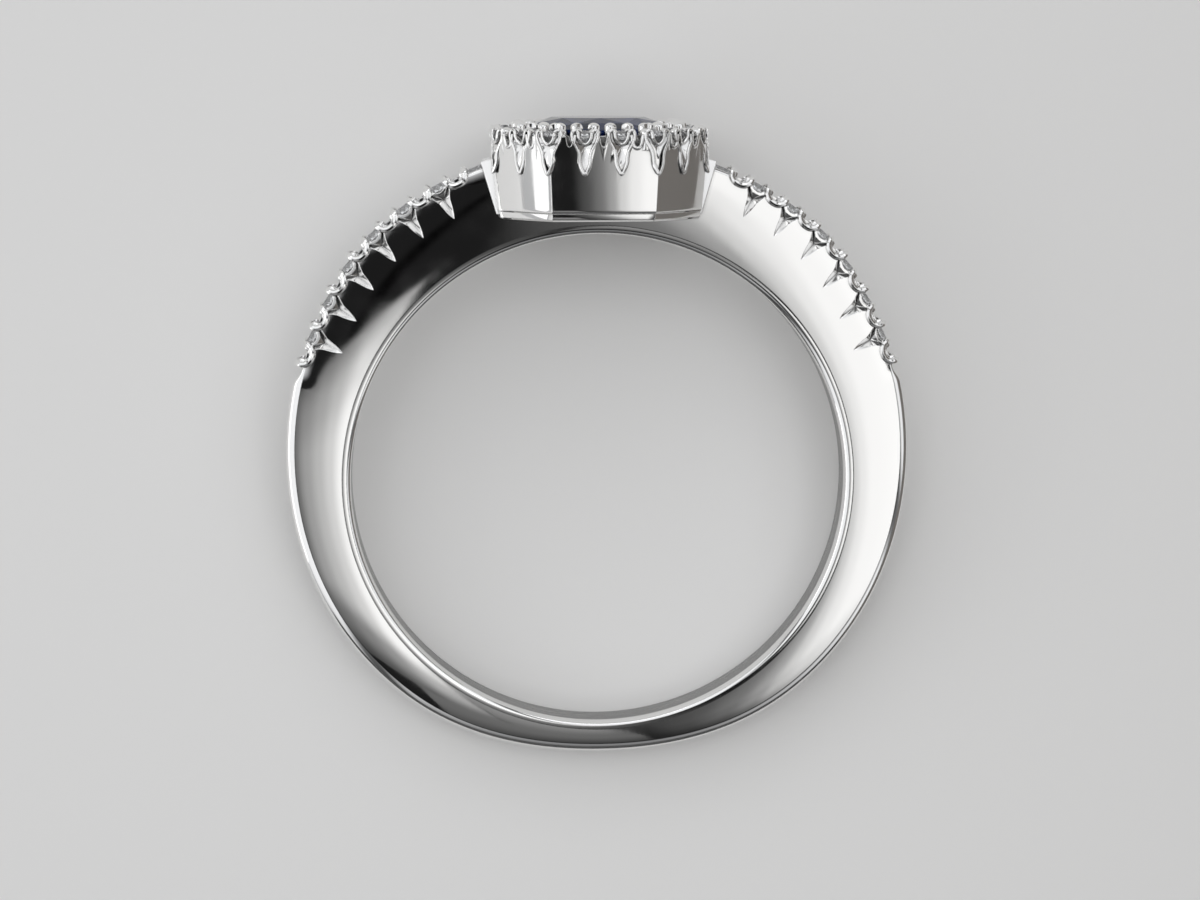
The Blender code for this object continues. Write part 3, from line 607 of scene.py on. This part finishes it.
def shoulder_gap_angles():
    """The angles half way between the shoulder stones, and of the bead pair below each first one."""
    for side in (-1, 1):
        for number in range(SHOULDER_STONES):
            yield side * (SHOULDER_FIRST_ANGLE + (0.5 - number) * SHOULDER_PITCH)


def round_outline(angle):
    """A round stone's reach at an angle, as a share of its half width."""
    return 1.0


def cushion_outline(angle):
    """The cushion's reach at an angle, as a share of its half width."""
    power = CUSHION_POWER
    return (abs(math.sin(angle)) ** power + abs(math.cos(angle)) ** power) ** (-1 / power)


def standing(origin, up):
    """A matrix whose Y axis is up, for a stone or a bead."""
    across = up.cross(Vector((0, 0, 1))).normalized()
    matrix = Matrix((across, up, across.cross(up))).transposed().to_4x4()
    matrix.translation = origin
    return matrix


def diamond_sizes(width):
    return {
        "width": width,
        "table": DIAMOND_TABLE_SHARE,
        "crown": width * DIAMOND_CROWN_SHARE,
        "girdle": width * DIAMOND_GIRDLE_SHARE,
        "pavilion": width * DIAMOND_PAVILION_SHARE,
        "outline": round_outline,
    }


def sapphire_sizes():
    return {
        "width": SAPPHIRE_WIDTH,
        "table": SAPPHIRE_TABLE_WIDTH / SAPPHIRE_WIDTH,
        "crown": SAPPHIRE_CROWN,
        "girdle": SAPPHIRE_GIRDLE,
        "pavilion": SAPPHIRE_PAVILION,
        "outline": cushion_outline,
    }


def seat_rings(sides, width, table, crown, girdle, pavilion, outline):
    """A stone's envelope with the clearance round it, open upwards over the table."""
    half = width / 2
    levels = (
        (table * half + CLEARANCE, girdle / 2 + crown + SEAT_OPENING),
        (table * half + CLEARANCE, girdle / 2 + crown + CLEARANCE),
        (half + CLEARANCE, girdle / 2 + CLEARANCE),
        (half + CLEARANCE, -girdle / 2 - CLEARANCE),
        (CLEARANCE, -girdle / 2 - pavilion - CLEARANCE),
    )
    rings = []
    for radius, height in levels:
        ring = []
        for step in range(sides):
            angle = (step + 0.5) * FULL_TURN / sides
            reach = radius * outline(angle) / math.cos(math.pi / sides)
            ring.append(Vector((reach * math.sin(angle), height, reach * math.cos(angle))))
        rings.append(ring)
    return rings


def stone_placements():
    """Each stone's kind and its frame, as in the solids."""
    placed = [("sapphire", standing(Vector((0, SAPPHIRE_GIRDLE_HEIGHT, 0)), Vector((0, 1, 0))))]
    halo = diamond_sizes(HALO_STONE_WIDTH)
    height = DECK_HEIGHT + BEAD_RISE - HALO_TABLE_DROP - halo["girdle"] / 2 - halo["crown"]
    for point, outward in halo_places():
        centre = halo_stone_centre(point, outward)
        centre.y = height
        placed.append(("halo", standing(centre, Vector((0, 1, 0)))))
    shoulder = diamond_sizes(SHOULDER_STONE_WIDTH)
    for _, angle in shoulder_angles():
        radius = band_radius(angle) - SHOULDER_TABLE_DROP - shoulder["girdle"] / 2 - shoulder["crown"]
        placed.append(("shoulder", standing(polar(radius, angle), polar(1, angle))))
    return placed


def halo_cut_frames():
    """Each halo cut's frame on its wall at the beads' tops, and how far the wall folds back beside it."""
    up = Vector((0, 1, 0))
    for point, outward in halo_places():
        fold = min(outward.angle(facet) for facet, _, _ in walls())
        yield facing(point + up * (DECK_HEIGHT + BEAD_RISE), -outward, up), math.tan(fold)


def on_face(angle, face, drop):
    """The frame of a cut or a bead pair on a side face, which leans with the face, drop below its top."""
    top = band_radius(angle)
    upper = face_height(angle, top - drop)
    lower = face_height(angle, top - drop - FRAME_REACH)
    lean = (lower - upper) / FRAME_REACH
    origin = polar(top, angle, face * (upper - lean * drop))
    inward = Vector((0, 0, -face)) - polar(lean, angle)
    return facing(origin, inward, polar(1, angle))


def shoulder_cut_frames():
    """Each shoulder cut's frame on its side face, which has no fold. The stones by the head have no cut."""
    for number, angle in shoulder_angles():
        if number == SHOULDER_STONES - 1:
            continue
        for face in (-1, 1):
            yield on_face(angle, face, SHOULDER_CUT_CENTRE), 0.0


def whole_outline(half):
    """An outline in metres from its right half, given from the top down in millimetres."""
    right = [Vector((x, y)) * MM for x, y in half]
    left = [Vector((-p.x, p.y)) for p in reversed(right) if p.x > 0]
    return right + left


def add_slot(mesh_data, matrix, half, inward):
    """A straight cut of the given outline into the wall."""
    outline = whole_outline(half)
    ends = (-CUT_OVERRUN, inward)
    loft(mesh_data, [[matrix @ Vector((p.x, p.y, z)) for p in outline] for z in ends])


def add_faceted_cut(mesh_data, matrix, half, centre, depth, fold):
    """A cut whose sides fall from the outline to one point inside the wall."""
    outline = whole_outline(half)
    rings = []
    for z in (-CUT_OVERRUN, 0.0):
        rings.append([
            mesh_data.verts.new(matrix @ Vector((p.x, p.y, z + abs(p.x) * fold))) for p in outline
        ])
    apex = mesh_data.verts.new(matrix @ Vector((0, -centre, depth)))
    count = len(outline)
    for corner in range(count):
        after = (corner + 1) % count
        mesh_data.faces.new((rings[0][corner], rings[0][after], rings[1][after], rings[1][corner]))
        mesh_data.faces.new((rings[1][corner], rings[1][after], apex))
    mesh_data.faces.new(reversed(rings[0]))


def make_cuts(collection):
    """The V cuts on the head's walls and the three-armed stars on the shoulders."""
    halo = (HALO_CUT, HALO_CUT_CENTRE, HALO_CUT_DEPTH)
    shoulder = (SHOULDER_CUT, SHOULDER_CUT_CENTRE, SHOULDER_CUT_DEPTH)
    cuts = [(matrix, *halo, fold) for matrix, fold in halo_cut_frames()]
    cuts += [(matrix, *shoulder, fold) for matrix, fold in shoulder_cut_frames()]
    for number, cut in enumerate(cuts, 1):
        add_form(f"cut_{number}", collection, add_faceted_cut, *cut)


def make_windows(collection):
    """The straight openings through to the stones, and the splits between the beads of each pair."""
    slots = [(matrix, HALO_WINDOW, WINDOW_INWARD) for matrix, _ in halo_cut_frames()]
    slots += [(matrix, SHOULDER_WINDOW, WINDOW_INWARD) for matrix, _ in shoulder_cut_frames()]
    for matrix, on_head in gap_frames():
        slots.append((matrix, HALO_SPLIT if on_head else SHOULDER_SPLIT, SPLIT_INWARD))
    for number, slot in enumerate(slots):
        add_form(f"window_{number}", collection, add_slot, *slot)


def smooth_path(points, closed):
    """Points on a smooth curve through the given ones, with RIBBON_STEPS from each one to the next."""
    count = len(points)
    path = []
    for row in range(count if closed else count - 1):
        p = [points[(row + k) % count] if closed else points[min(max(row + k, 0), count - 1)]
             for k in (-1, 0, 1, 2)]
        for step in range(RIBBON_STEPS):
            t = step / RIBBON_STEPS
            path.append(0.5 * (2 * p[1] + (p[2] - p[0]) * t + (2 * p[0] - 5 * p[1] + 4 * p[2] - p[3]) * t**2
                               + (3 * p[1] - p[0] - 3 * p[2] + p[3]) * t**3))
    if not closed:
        path.append(points[-1])
    return path


def add_ribbon(mesh_data, matrix, half, radius, fold, closed):
    """A rounded crest along a path and its mirror image, laid on the wall."""
    right = [Vector(point) * MM for point in half]
    left = [Vector((-p.x, p.y, p.z)) for p in reversed(right) if p.x > 0]
    path = smooth_path(right + left, closed)
    inward = Vector((0, 0, 1))
    sections = []
    count = len(path)
    for row, point in enumerate(path):
        before = path[row - 1] if closed or row else point
        after = path[(row + 1) % count] if closed or row + 1 < count else point
        side = (after - before).cross(inward).normalized()
        ahead = inward.cross(side)
        rise = side.cross(ahead).normalized()
        ring = []
        for step in range(RIBBON_SIDES):
            turn = FULL_TURN * step / RIBBON_SIDES
            spot = point + radius * (side * math.cos(turn) + rise * math.sin(turn))
            ring.append(matrix @ (spot + Vector((0, 0, abs(spot.x) * fold))))
        sections.append(ring)
    loft(mesh_data, sections, closed)


def make_ribbons(collection):
    """A closed ribbon round each halo cut, and an open U in each gap between two stones."""
    ribbons = [(matrix, HALO_RIBBON, HALO_RIBBON_RADIUS, fold, True) for matrix, fold in halo_cut_frames()]
    for matrix, on_head in gap_frames():
        kind = (HALO_U, HALO_RIBBON_RADIUS) if on_head else (SHOULDER_RIBBON, SHOULDER_RIBBON_RADIUS)
        ribbons.append((matrix, *kind, 0.0, False))
    for number, ribbon in enumerate(ribbons, 1):
        add_form(f"ribbon_{number}", collection, add_ribbon, *ribbon)


def add_bead(mesh_data, foot, up, height, radius):
    """A pillar with a domed top."""
    matrix = standing(foot, up)
    dome = radius * BEAD_DOME_HEIGHT_SHARE
    levels = [(0.0, radius), (height - dome, radius)]
    for step in range(1, BEAD_DOME_RINGS):
        turn = QUARTER_TURN * step / BEAD_DOME_RINGS
        levels.append((height - dome + dome * math.sin(turn), radius * math.cos(turn)))
    sections = []
    for level, reach in levels:
        section = []
        for step in range(BEAD_SIDES):
            angle = FULL_TURN * step / BEAD_SIDES
            section.append(matrix @ Vector((reach * math.sin(angle), level, reach * math.cos(angle))))
        sections.append(section)
    loft(mesh_data, sections, tip=matrix @ Vector((0, height, 0)))


def gap_frames():
    """The frame of each gap between two stones, on the wall at the beads' tops, and whether on the head."""
    up = Vector((0, 1, 0))
    for point, outward in halo_gaps():
        yield facing(point + up * (DECK_HEIGHT + BEAD_RISE), -outward, up), True
    for angle in shoulder_gap_angles():
        for face in (-1, 1):
            yield on_face(angle, face, SHOULDER_RIBBON_DROP), False


def make_beads(collection):
    """The outer bead pair of each gap, the inner pair beside it on the head, and the sapphire's claws."""
    beads = []
    for matrix, on_head in gap_frames():
        up = (matrix.to_3x3() @ Vector((0, 1, 0))).normalized()
        radius = HALO_BEAD_RADIUS if on_head else SHOULDER_BEAD_RADIUS
        spread = HALO_BEAD_SPREAD if on_head else SHOULDER_BEAD_SPREAD
        height = BEAD_ROOT + (BEAD_RISE if on_head else CHANNEL_DEPTH)
        for side in (-1, 1):
            foot = Vector((side * spread, -height, radius * BEAD_INSET_SHARE))
            beads.append((matrix @ foot, up, height, radius))
        if on_head:
            inner = HALO_STONE_WIDTH + HALO_WALL - INNER_BEAD_RADIUS * INNER_BEAD_INSET_SHARE
            height += INNER_BEAD_EXTRA
            for side in (-1, 1):
                foot = Vector((side * spread * INNER_SPREAD_SHARE, INNER_BEAD_EXTRA - height, inner))
                beads.append((matrix @ foot, up, height, INNER_BEAD_RADIUS))
    up = Vector((0, 1, 0))
    height = SAPPHIRE_RISE + CLAW_RISE + BEAD_ROOT
    for corner in range(4):
        angle = math.radians(45 + 90 * corner)
        reach = SAPPHIRE_WIDTH / 2 * cushion_outline(angle) + CLAW_RADIUS - CLAW_BITE
        foot = Vector((reach * math.sin(angle), DECK_HEIGHT - BEAD_ROOT, reach * math.cos(angle)))
        beads.append((foot, up, height, CLAW_RADIUS))
    for number, bead in enumerate(beads, 1):
        add_form(f"bead_{number}", collection, add_bead, *bead)


def make_seats(collection):
    """The room for each stone, cut out of the metal."""
    kinds = {
        "sapphire": sapphire_sizes(),
        "halo": diamond_sizes(HALO_STONE_WIDTH),
        "shoulder": diamond_sizes(SHOULDER_STONE_WIDTH),
    }
    for number, (kind, matrix) in enumerate(stone_placements()):
        sides = SAPPHIRE_SEAT_SIDES if kind == "sapphire" else DIAMOND_SEAT_SIDES
        rings = [[matrix @ point for point in ring] for ring in seat_rings(sides, **kinds[kind])]
        add_form(f"seat_{number}", collection, loft, rings)


def build_metal():
    """The finer metal: built in the ring's own frame, from the same sizes as the solid it replaces, with
    more sides and rounder forms."""
    shown = bpy.context.scene.collection
    metal = make_band(shown)
    stages = (
        ("head", "UNION", (make_head, make_plate, make_cheeks)),
        ("beads", "UNION", (make_beads,)),
        ("cuts", "DIFFERENCE", (make_cuts,)),
        ("windows", "DIFFERENCE", (make_windows,)),
        ("seats", "DIFFERENCE", (make_seats,)),
        ("ribbons", "UNION", (make_ribbons,)),
    )
    for name, operation, makers in stages:
        helpers = bpy.data.collections.new(name)
        shown.children.link(helpers)
        for make in makers:
            make(helpers)
        modifier = metal.modifiers.new(name, "BOOLEAN")
        modifier.operation = operation
        modifier.operand_type = "COLLECTION"
        modifier.collection = helpers
        modifier.solver = "EXACT"
        bpy.context.view_layer.update()
        graph = bpy.context.evaluated_depsgraph_get()
        mesh = bpy.data.meshes.new_from_object(metal.evaluated_get(graph))
        metal.modifiers.clear()
        metal.data = mesh
        for helper in list(helpers.objects):
            bpy.data.objects.remove(helper, do_unlink=True)
        bpy.data.collections.remove(helpers)
    metal.data.shade_smooth()
    metal.data.set_sharp_from_angle(angle=SHARP_ANGLE)
    metal.data.transform(RING)
    return metal


def new_shader(name):
    """A new material, with its nodes and links."""
    material = bpy.data.materials.new(name)
    material.use_nodes = True
    return material, material.node_tree.nodes, material.node_tree.links


def add_node(nodes, kind, **values):
    """A node with its properties and unlinked inputs set."""
    node = nodes.new(kind)
    for name, value in values.items():
        if hasattr(node, name):
            setattr(node, name, value)
        else:
            node.inputs[name.replace("_", " ")].default_value = value
    return node


def add_range(nodes, links, source, low, high, to_low, to_high):
    """The source mapped from one range to another, held at its ends."""
    node = nodes.new("ShaderNodeMapRange")
    node.interpolation_type = "SMOOTHSTEP"
    for name, value in (("From Min", low), ("From Max", high), ("To Min", to_low), ("To Max", to_high)):
        node.inputs[name].default_value = value
    links.new(source, node.inputs["Value"])
    return node.outputs["Result"]


def add_math(nodes, links, operation, first, second):
    """A sum or function of two values, each a number or a socket."""
    node = nodes.new("ShaderNodeMath")
    node.operation = operation
    for socket, value in zip(node.inputs, (first, second)):
        if isinstance(value, float):
            socket.default_value = value
        else:
            links.new(value, socket)
    return node.outputs["Value"]


def ring_place(nodes, links):
    """The point's place in the ring's own frame."""
    place = nodes.new("ShaderNodeTexCoord")
    turned = nodes.new("ShaderNodeMapping")
    turned.vector_type = "TEXTURE"
    turned.inputs["Location"].default_value = RING.translation
    turned.inputs["Rotation"].default_value = RING.to_euler()
    links.new(place.outputs["Object"], turned.inputs["Vector"])
    return turned.outputs["Vector"]


def add_scaled(nodes, links, place, scale):
    """The place multiplied by a scale along each axis."""
    node = add_node(nodes, "ShaderNodeVectorMath", operation="MULTIPLY")
    node.inputs[1].default_value = scale
    links.new(place, node.inputs[0])
    return node.outputs["Vector"]


def add_noise(nodes, links, place, scale, detail):
    node = add_node(nodes, "ShaderNodeTexNoise", Scale=scale, Detail=detail)
    links.new(place, node.inputs["Vector"])
    return node.outputs["Fac"]


def add_mix(nodes, links, factor, first, second, data_type="FLOAT"):
    """A blend from the first value to the second, each a socket or a colour."""
    node = add_node(nodes, "ShaderNodeMix", data_type=data_type)
    links.new(factor, node.inputs["Factor"])
    for name, value in (("A", first), ("B", second)):
        if isinstance(value, tuple):
            node.inputs[name].default_value = value
        else:
            links.new(value, node.inputs[name])
    return node.outputs["Result"]


def brushed_and_shaded_share(nodes, links, place):
    """1 on the brushed belt in the finger hole, where the tone is also darkened as painted shade, and 0
    elsewhere.
    """
    distance = add_node(nodes, "ShaderNodeVectorMath", operation="LENGTH")
    links.new(add_scaled(nodes, links, place, (1, 1, 0)), distance.inputs[0])
    near, far = BRUSHED_AND_SHADED_DEPTH
    inside = add_range(nodes, links, distance.outputs["Value"], FINGER_RADIUS + near, FINGER_RADIUS + far,
                       1.0, 0.0)
    height = add_node(nodes, "ShaderNodeSeparateXYZ")
    links.new(place, height.inputs[0])
    beside = add_math(nodes, links, "ADD", height.outputs["Z"], BRUSHED_AND_SHADED_SHIFT)
    beside = add_math(nodes, links, "ABSOLUTE", beside, 0.0)
    middle = add_range(nodes, links, beside, BRUSHED_AND_SHADED_HALF - BRUSHED_AND_SHADED_FADE, BRUSHED_AND_SHADED_HALF + BRUSHED_AND_SHADED_FADE,
                       1.0, 0.0)
    return add_math(nodes, links, "MULTIPLY", inside, middle)


def white_gold_material():
    """Polished white gold: clouds in the polish, hair scratches, painted shade darkening its crevices, a
    brushed finger hole whose darker tone is painted shade.
    """
    material, nodes, links = new_shader("white_gold")
    shader = nodes["Principled BSDF"]
    shader.inputs["Metallic"].default_value = 1.0
    place = ring_place(nodes, links)
    brushed_and_shaded_belt = brushed_and_shaded_share(nodes, links, place)
    streaks = add_noise(nodes, links, add_scaled(nodes, links, place, BRUSHED_SCALE), 1.0, 4.0)

    cloud = add_noise(nodes, links, place, METAL_CLOUD_SCALE, 3.0)
    polish = add_range(nodes, links, cloud, *CLOUD_RANGE, *WHITE_GOLD_ROUGHNESS)
    brushed = add_range(nodes, links, streaks, *CLOUD_RANGE, *BRUSHED_ROUGHNESS)
    links.new(add_mix(nodes, links, brushed_and_shaded_belt, polish, brushed), shader.inputs["Roughness"])

    # Painted shade: the brushed belt gets a much darker tone than the polished gold; its streaks and
    # roughness are the real finish.
    tone = add_mix(nodes, links, brushed_and_shaded_belt, WHITE_GOLD_TONE, BRUSHED_PAINTED_SHADE_TONE, "RGBA")
    # Painted shade: the base colour turns dark where ambient occlusion finds metal close by, in crevices
    # and creases.
    shade_probe = add_node(nodes, "ShaderNodeAmbientOcclusion", samples=4, only_local=True,
                       Distance=PAINTED_SHADE_REACH)
    unshaded_share = add_range(nodes, links, shade_probe.outputs["AO"], *PAINTED_SHADE_RANGE, 0.0, 1.0)
    tone_with_painted_shade = add_mix(nodes, links, unshaded_share, PAINTED_SHADE_TONE, tone, "RGBA")
    links.new(tone_with_painted_shade, shader.inputs["Base Color"])

    scratches = add_noise(nodes, links, add_scaled(nodes, links, place, SCRATCH_SCALE), 1.0, 2.0)
    edge = add_node(nodes, "ShaderNodeBevel", samples=6, Radius=METAL_EDGE)
    bump = add_node(nodes, "ShaderNodeBump", Distance=SCRATCH_DEPTH, Strength=SCRATCH_STRENGTH)
    links.new(add_mix(nodes, links, brushed_and_shaded_belt, scratches, streaks), bump.inputs["Height"])
    links.new(edge.outputs["Normal"], bump.inputs["Normal"])
    links.new(bump.outputs["Normal"], shader.inputs["Normal"])
    return material


def stone_material(name, colour, ior, clear):
    """A cut stone: clear glass that scatters a little light back, with faint clouds in the polish."""
    material, nodes, links = new_shader(name)
    shader = nodes["Principled BSDF"]
    shader.inputs["Base Color"].default_value = (*colour, 1)
    shader.inputs["IOR"].default_value = ior
    shader.inputs["Transmission Weight"].default_value = clear
    cloud = add_noise(nodes, links, ring_place(nodes, links), STONE_CLOUD_SCALE, 2.0)
    polish = add_range(nodes, links, cloud, *CLOUD_RANGE, *STONE_ROUGHNESS)
    links.new(polish, shader.inputs["Roughness"])
    edge = add_node(nodes, "ShaderNodeBevel", samples=4, Radius=STONE_EDGE)
    links.new(edge.outputs["Normal"], shader.inputs["Normal"])
    return material


def floor_material():
    """A pale matt surface with a fine grain."""
    material, nodes, links = new_shader("floor")
    shader = nodes["Principled BSDF"]
    shader.inputs["Base Color"].default_value = FLOOR_TONE
    place = nodes.new("ShaderNodeTexCoord")
    grain = add_noise(nodes, links, place.outputs["Object"], FLOOR_GRAIN_SCALE, 2.0)
    links.new(add_range(nodes, links, grain, *CLOUD_RANGE, *FLOOR_ROUGHNESS), shader.inputs["Roughness"])
    return material


def add_plane(name, corners, material):
    """A flat sheet of the stage."""
    mesh = bpy.data.meshes.new(name)
    mesh.from_pydata(corners, [], [(0, 1, 2, 3)])
    mesh.materials.append(material)
    plane = bpy.data.objects.new(name, mesh)
    bpy.context.scene.collection.objects.link(plane)
    return plane


def add_floor():
    reach = FLOOR_REACH
    corners = [(-reach, -reach, 0), (reach, -reach, 0), (reach, reach, 0), (-reach, reach, 0)]
    floor = add_plane("floor", corners, floor_material())


def add_card(name, place, size, colour):
    """A plain upright card outside the picture, which darkens what the metal mirrors."""
    material, nodes, links = new_shader(name)
    shader = nodes["Principled BSDF"]
    shader.inputs["Base Color"].default_value = (*colour, 1)
    grain = add_node(nodes, "ShaderNodeTexNoise", Scale=CARD_GRAIN_SCALE, Detail=2.0)
    polish = add_range(nodes, links, grain.outputs["Fac"], *CLOUD_RANGE, *CARD_ROUGHNESS)
    links.new(polish, shader.inputs["Roughness"])
    low = Vector(place) - Vector(size) / 2
    high = Vector(place) + Vector(size) / 2
    corners = [low, (high.x, high.y, low.z), high, (low.x, low.y, high.z)]
    card = add_plane(name, corners, material)


def add_light(name, place, target, size, radiance, across=(), along=(), turn=0.0, seen=True):
    """A soft box. across and along list its brightness over its width and height, as (share, level). The
    metal mirrors it only where it is seen."""
    light = bpy.data.lights.new(name, "AREA")
    light.shape = "RECTANGLE"
    light.size, light.size_y = size
    light.energy = radiance * math.pi * size[0] * size[1]
    light.use_nodes = True
    shade_light(light, across, along)
    obj = bpy.data.objects.new(name, light)
    aim = (Vector(target) - Vector(place)).to_track_quat("-Z", "Y").to_matrix().to_4x4()
    obj.matrix_world = Matrix.Translation(place) @ aim @ Matrix.Rotation(turn, 4, "Z")
    obj.visible_glossy = seen
    bpy.context.scene.collection.objects.link(obj)


def shade_light(light, across, along):
    """Gives a soft box its two brightness ramps, multiplied with each other."""
    nodes, links = light.node_tree.nodes, light.node_tree.links
    spot = add_node(nodes, "ShaderNodeNewGeometry")
    split = add_node(nodes, "ShaderNodeSeparateXYZ")
    links.new(spot.outputs["Parametric"], split.inputs["Vector"])
    level = None
    for ramp, axis in ((across, "X"), (along, "Y")):
        if not ramp:
            continue
        tone = add_node(nodes, "ShaderNodeValToRGB")
        tone.color_ramp.interpolation = "EASE"
        stops = tone.color_ramp.elements
        while len(stops) < len(ramp):
            stops.new(0.5)
        for stop, (share, value) in zip(stops, ramp):
            stop.position = share
            stop.color = (value, value, value, 1)
        links.new(split.outputs[axis], tone.inputs["Fac"])
        factor = tone.outputs["Color"]
        level = add_math(nodes, links, "MULTIPLY", level, factor) if level else factor
    if level:
        links.new(level, nodes["Emission"].inputs["Strength"])


def add_world():
    """A pale tent of four panels with dark seams and a dark top, dimmer in front, at the floor and on the
    right."""
    world = bpy.data.worlds.new("studio")
    world.use_nodes = True
    nodes, links = world.node_tree.nodes, world.node_tree.links
    place = nodes.new("ShaderNodeTexCoord")
    split = nodes.new("ShaderNodeSeparateXYZ")
    links.new(place.outputs["Generated"], split.inputs["Vector"])
    near_top = nodes.new("ShaderNodeVectorMath")
    near_top.operation = "DOT_PRODUCT"
    near_top.inputs[1].default_value = Vector(DARK_TOP).normalized()
    links.new(place.outputs["Generated"], near_top.inputs[0])
    azimuth = add_math(nodes, links, "ARCTAN2", split.outputs["Y"], split.outputs["X"])
    wave = add_math(nodes, links, "MULTIPLY", azimuth, 2.0)
    wave = add_math(nodes, links, "ADD", wave, SEAM_TURN)
    wave = add_math(nodes, links, "SINE", wave, 0.0)
    wave = add_math(nodes, links, "ABSOLUTE", wave, 0.0)
    zones = (
        # measure, where the zone starts and ends, the light's level at its start and its end
        (near_top.outputs["Value"], 0.857, 0.9135, 1.0, 0.012),
        (split.outputs["Y"], -0.85, -0.45, 0.12, 1.0),
        (split.outputs["Z"], 0.05, 0.5, 0.5, 1.0),
        (split.outputs["X"], 0.55, 0.9, 1.0, 0.35),
        (wave, 0.05, 0.3, 0.15, 1.0),
    )
    level = None
    for measure, start, end, start_level, end_level in zones:
        share = add_range(nodes, links, measure, start, end, start_level, end_level)
        level = add_math(nodes, links, "MULTIPLY", level, share) if level else share
    background = nodes["Background"]
    background.inputs["Color"].default_value = SKY_TONE
    links.new(level, background.inputs["Strength"])
    bpy.context.scene.world = world


def add_overhead(name, x, y, size, radiance, **shading):
    """A soft box over the ring that faces straight down."""
    add_light(name, (x, y, LIGHT_HEIGHT), (x, y, 0), size, radiance, **shading)


def add_studio():
    add_world()
    add_light("fill", (0.0, 0.0, 0.6), (0, 0, 0), (0.6, 0.6), 0.82, seen=False)
    add_overhead("main", 0.0674, -0.0596, (0.127, 0.2), 1.12,
                 across=MAIN_ACROSS, along=MAIN_ALONG, turn=math.radians(15))
    add_overhead("left_strip", -0.046, -0.09, (0.076, 0.09), 1.05,
                 across=STRIP_ACROSS, along=STRIP_ALONG, turn=math.radians(4))
    add_overhead("front_card", 0.002, -0.14, (0.07, 0.08), 0.27, along=FRONT_ALONG)
    add_light("left", (-0.3, -0.02, 0.1), STUDIO_MIDDLE, (0.3, 0.16), 0.7)
    add_card("right_card", (0.062, -0.005, 0.025), (0.0, 0.14, 0.05), (0.23, 0.215, 0.2))
    add_card("front_low_card", (0.0, -0.06, 0.02), (0.14, 0.0, 0.04), (0.1, 0.1, 0.1))
    add_light("back", (0.0, 0.3, 0.2), STUDIO_MIDDLE, (0.3, 0.12), 0.5)


def add_camera():
    """The camera, aimed at the ring's middle from near the finger's axis."""
    data = bpy.data.cameras.new("camera")
    data.lens = CAMERA_LENS
    data.sensor_width = CAMERA_SENSOR
    data.clip_start, data.clip_end = CAMERA_CLIP
    data.shift_x, data.shift_y = CAMERA_SHIFT
    camera = bpy.data.objects.new("camera", data)
    back = Vector((
        math.sin(CAMERA_YAW) * math.cos(CAMERA_RAISE),
        math.sin(CAMERA_RAISE),
        math.cos(CAMERA_YAW) * math.cos(CAMERA_RAISE),
    ))
    up = Vector((0, 1, 0))
    up = (up - up.project(back)).normalized()
    matrix = Matrix((up.cross(back), up, back)).transposed().to_4x4()
    matrix.translation = back * CAMERA_DISTANCE
    camera.matrix_world = RING @ matrix
    bpy.context.scene.collection.objects.link(camera)
    bpy.context.scene.camera = camera


metal = build_metal()
metal.data.materials.clear()
metal.data.materials.append(white_gold_material())
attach(metal, "root")
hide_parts("ring_mount")

diamond = stone_material("diamond", *DIAMOND_GLASS)
sapphire = stone_material("sapphire", *SAPPHIRE_GLASS)
for name, obj in frame["nodes"].items():
    if name == "ring_mount":
        continue
    for spot in obj.material_slots:
        spot.material = sapphire if name == "sapphire" else diamond

add_floor()
add_studio()
add_camera()
bpy.context.scene.view_settings.view_transform = "Standard"
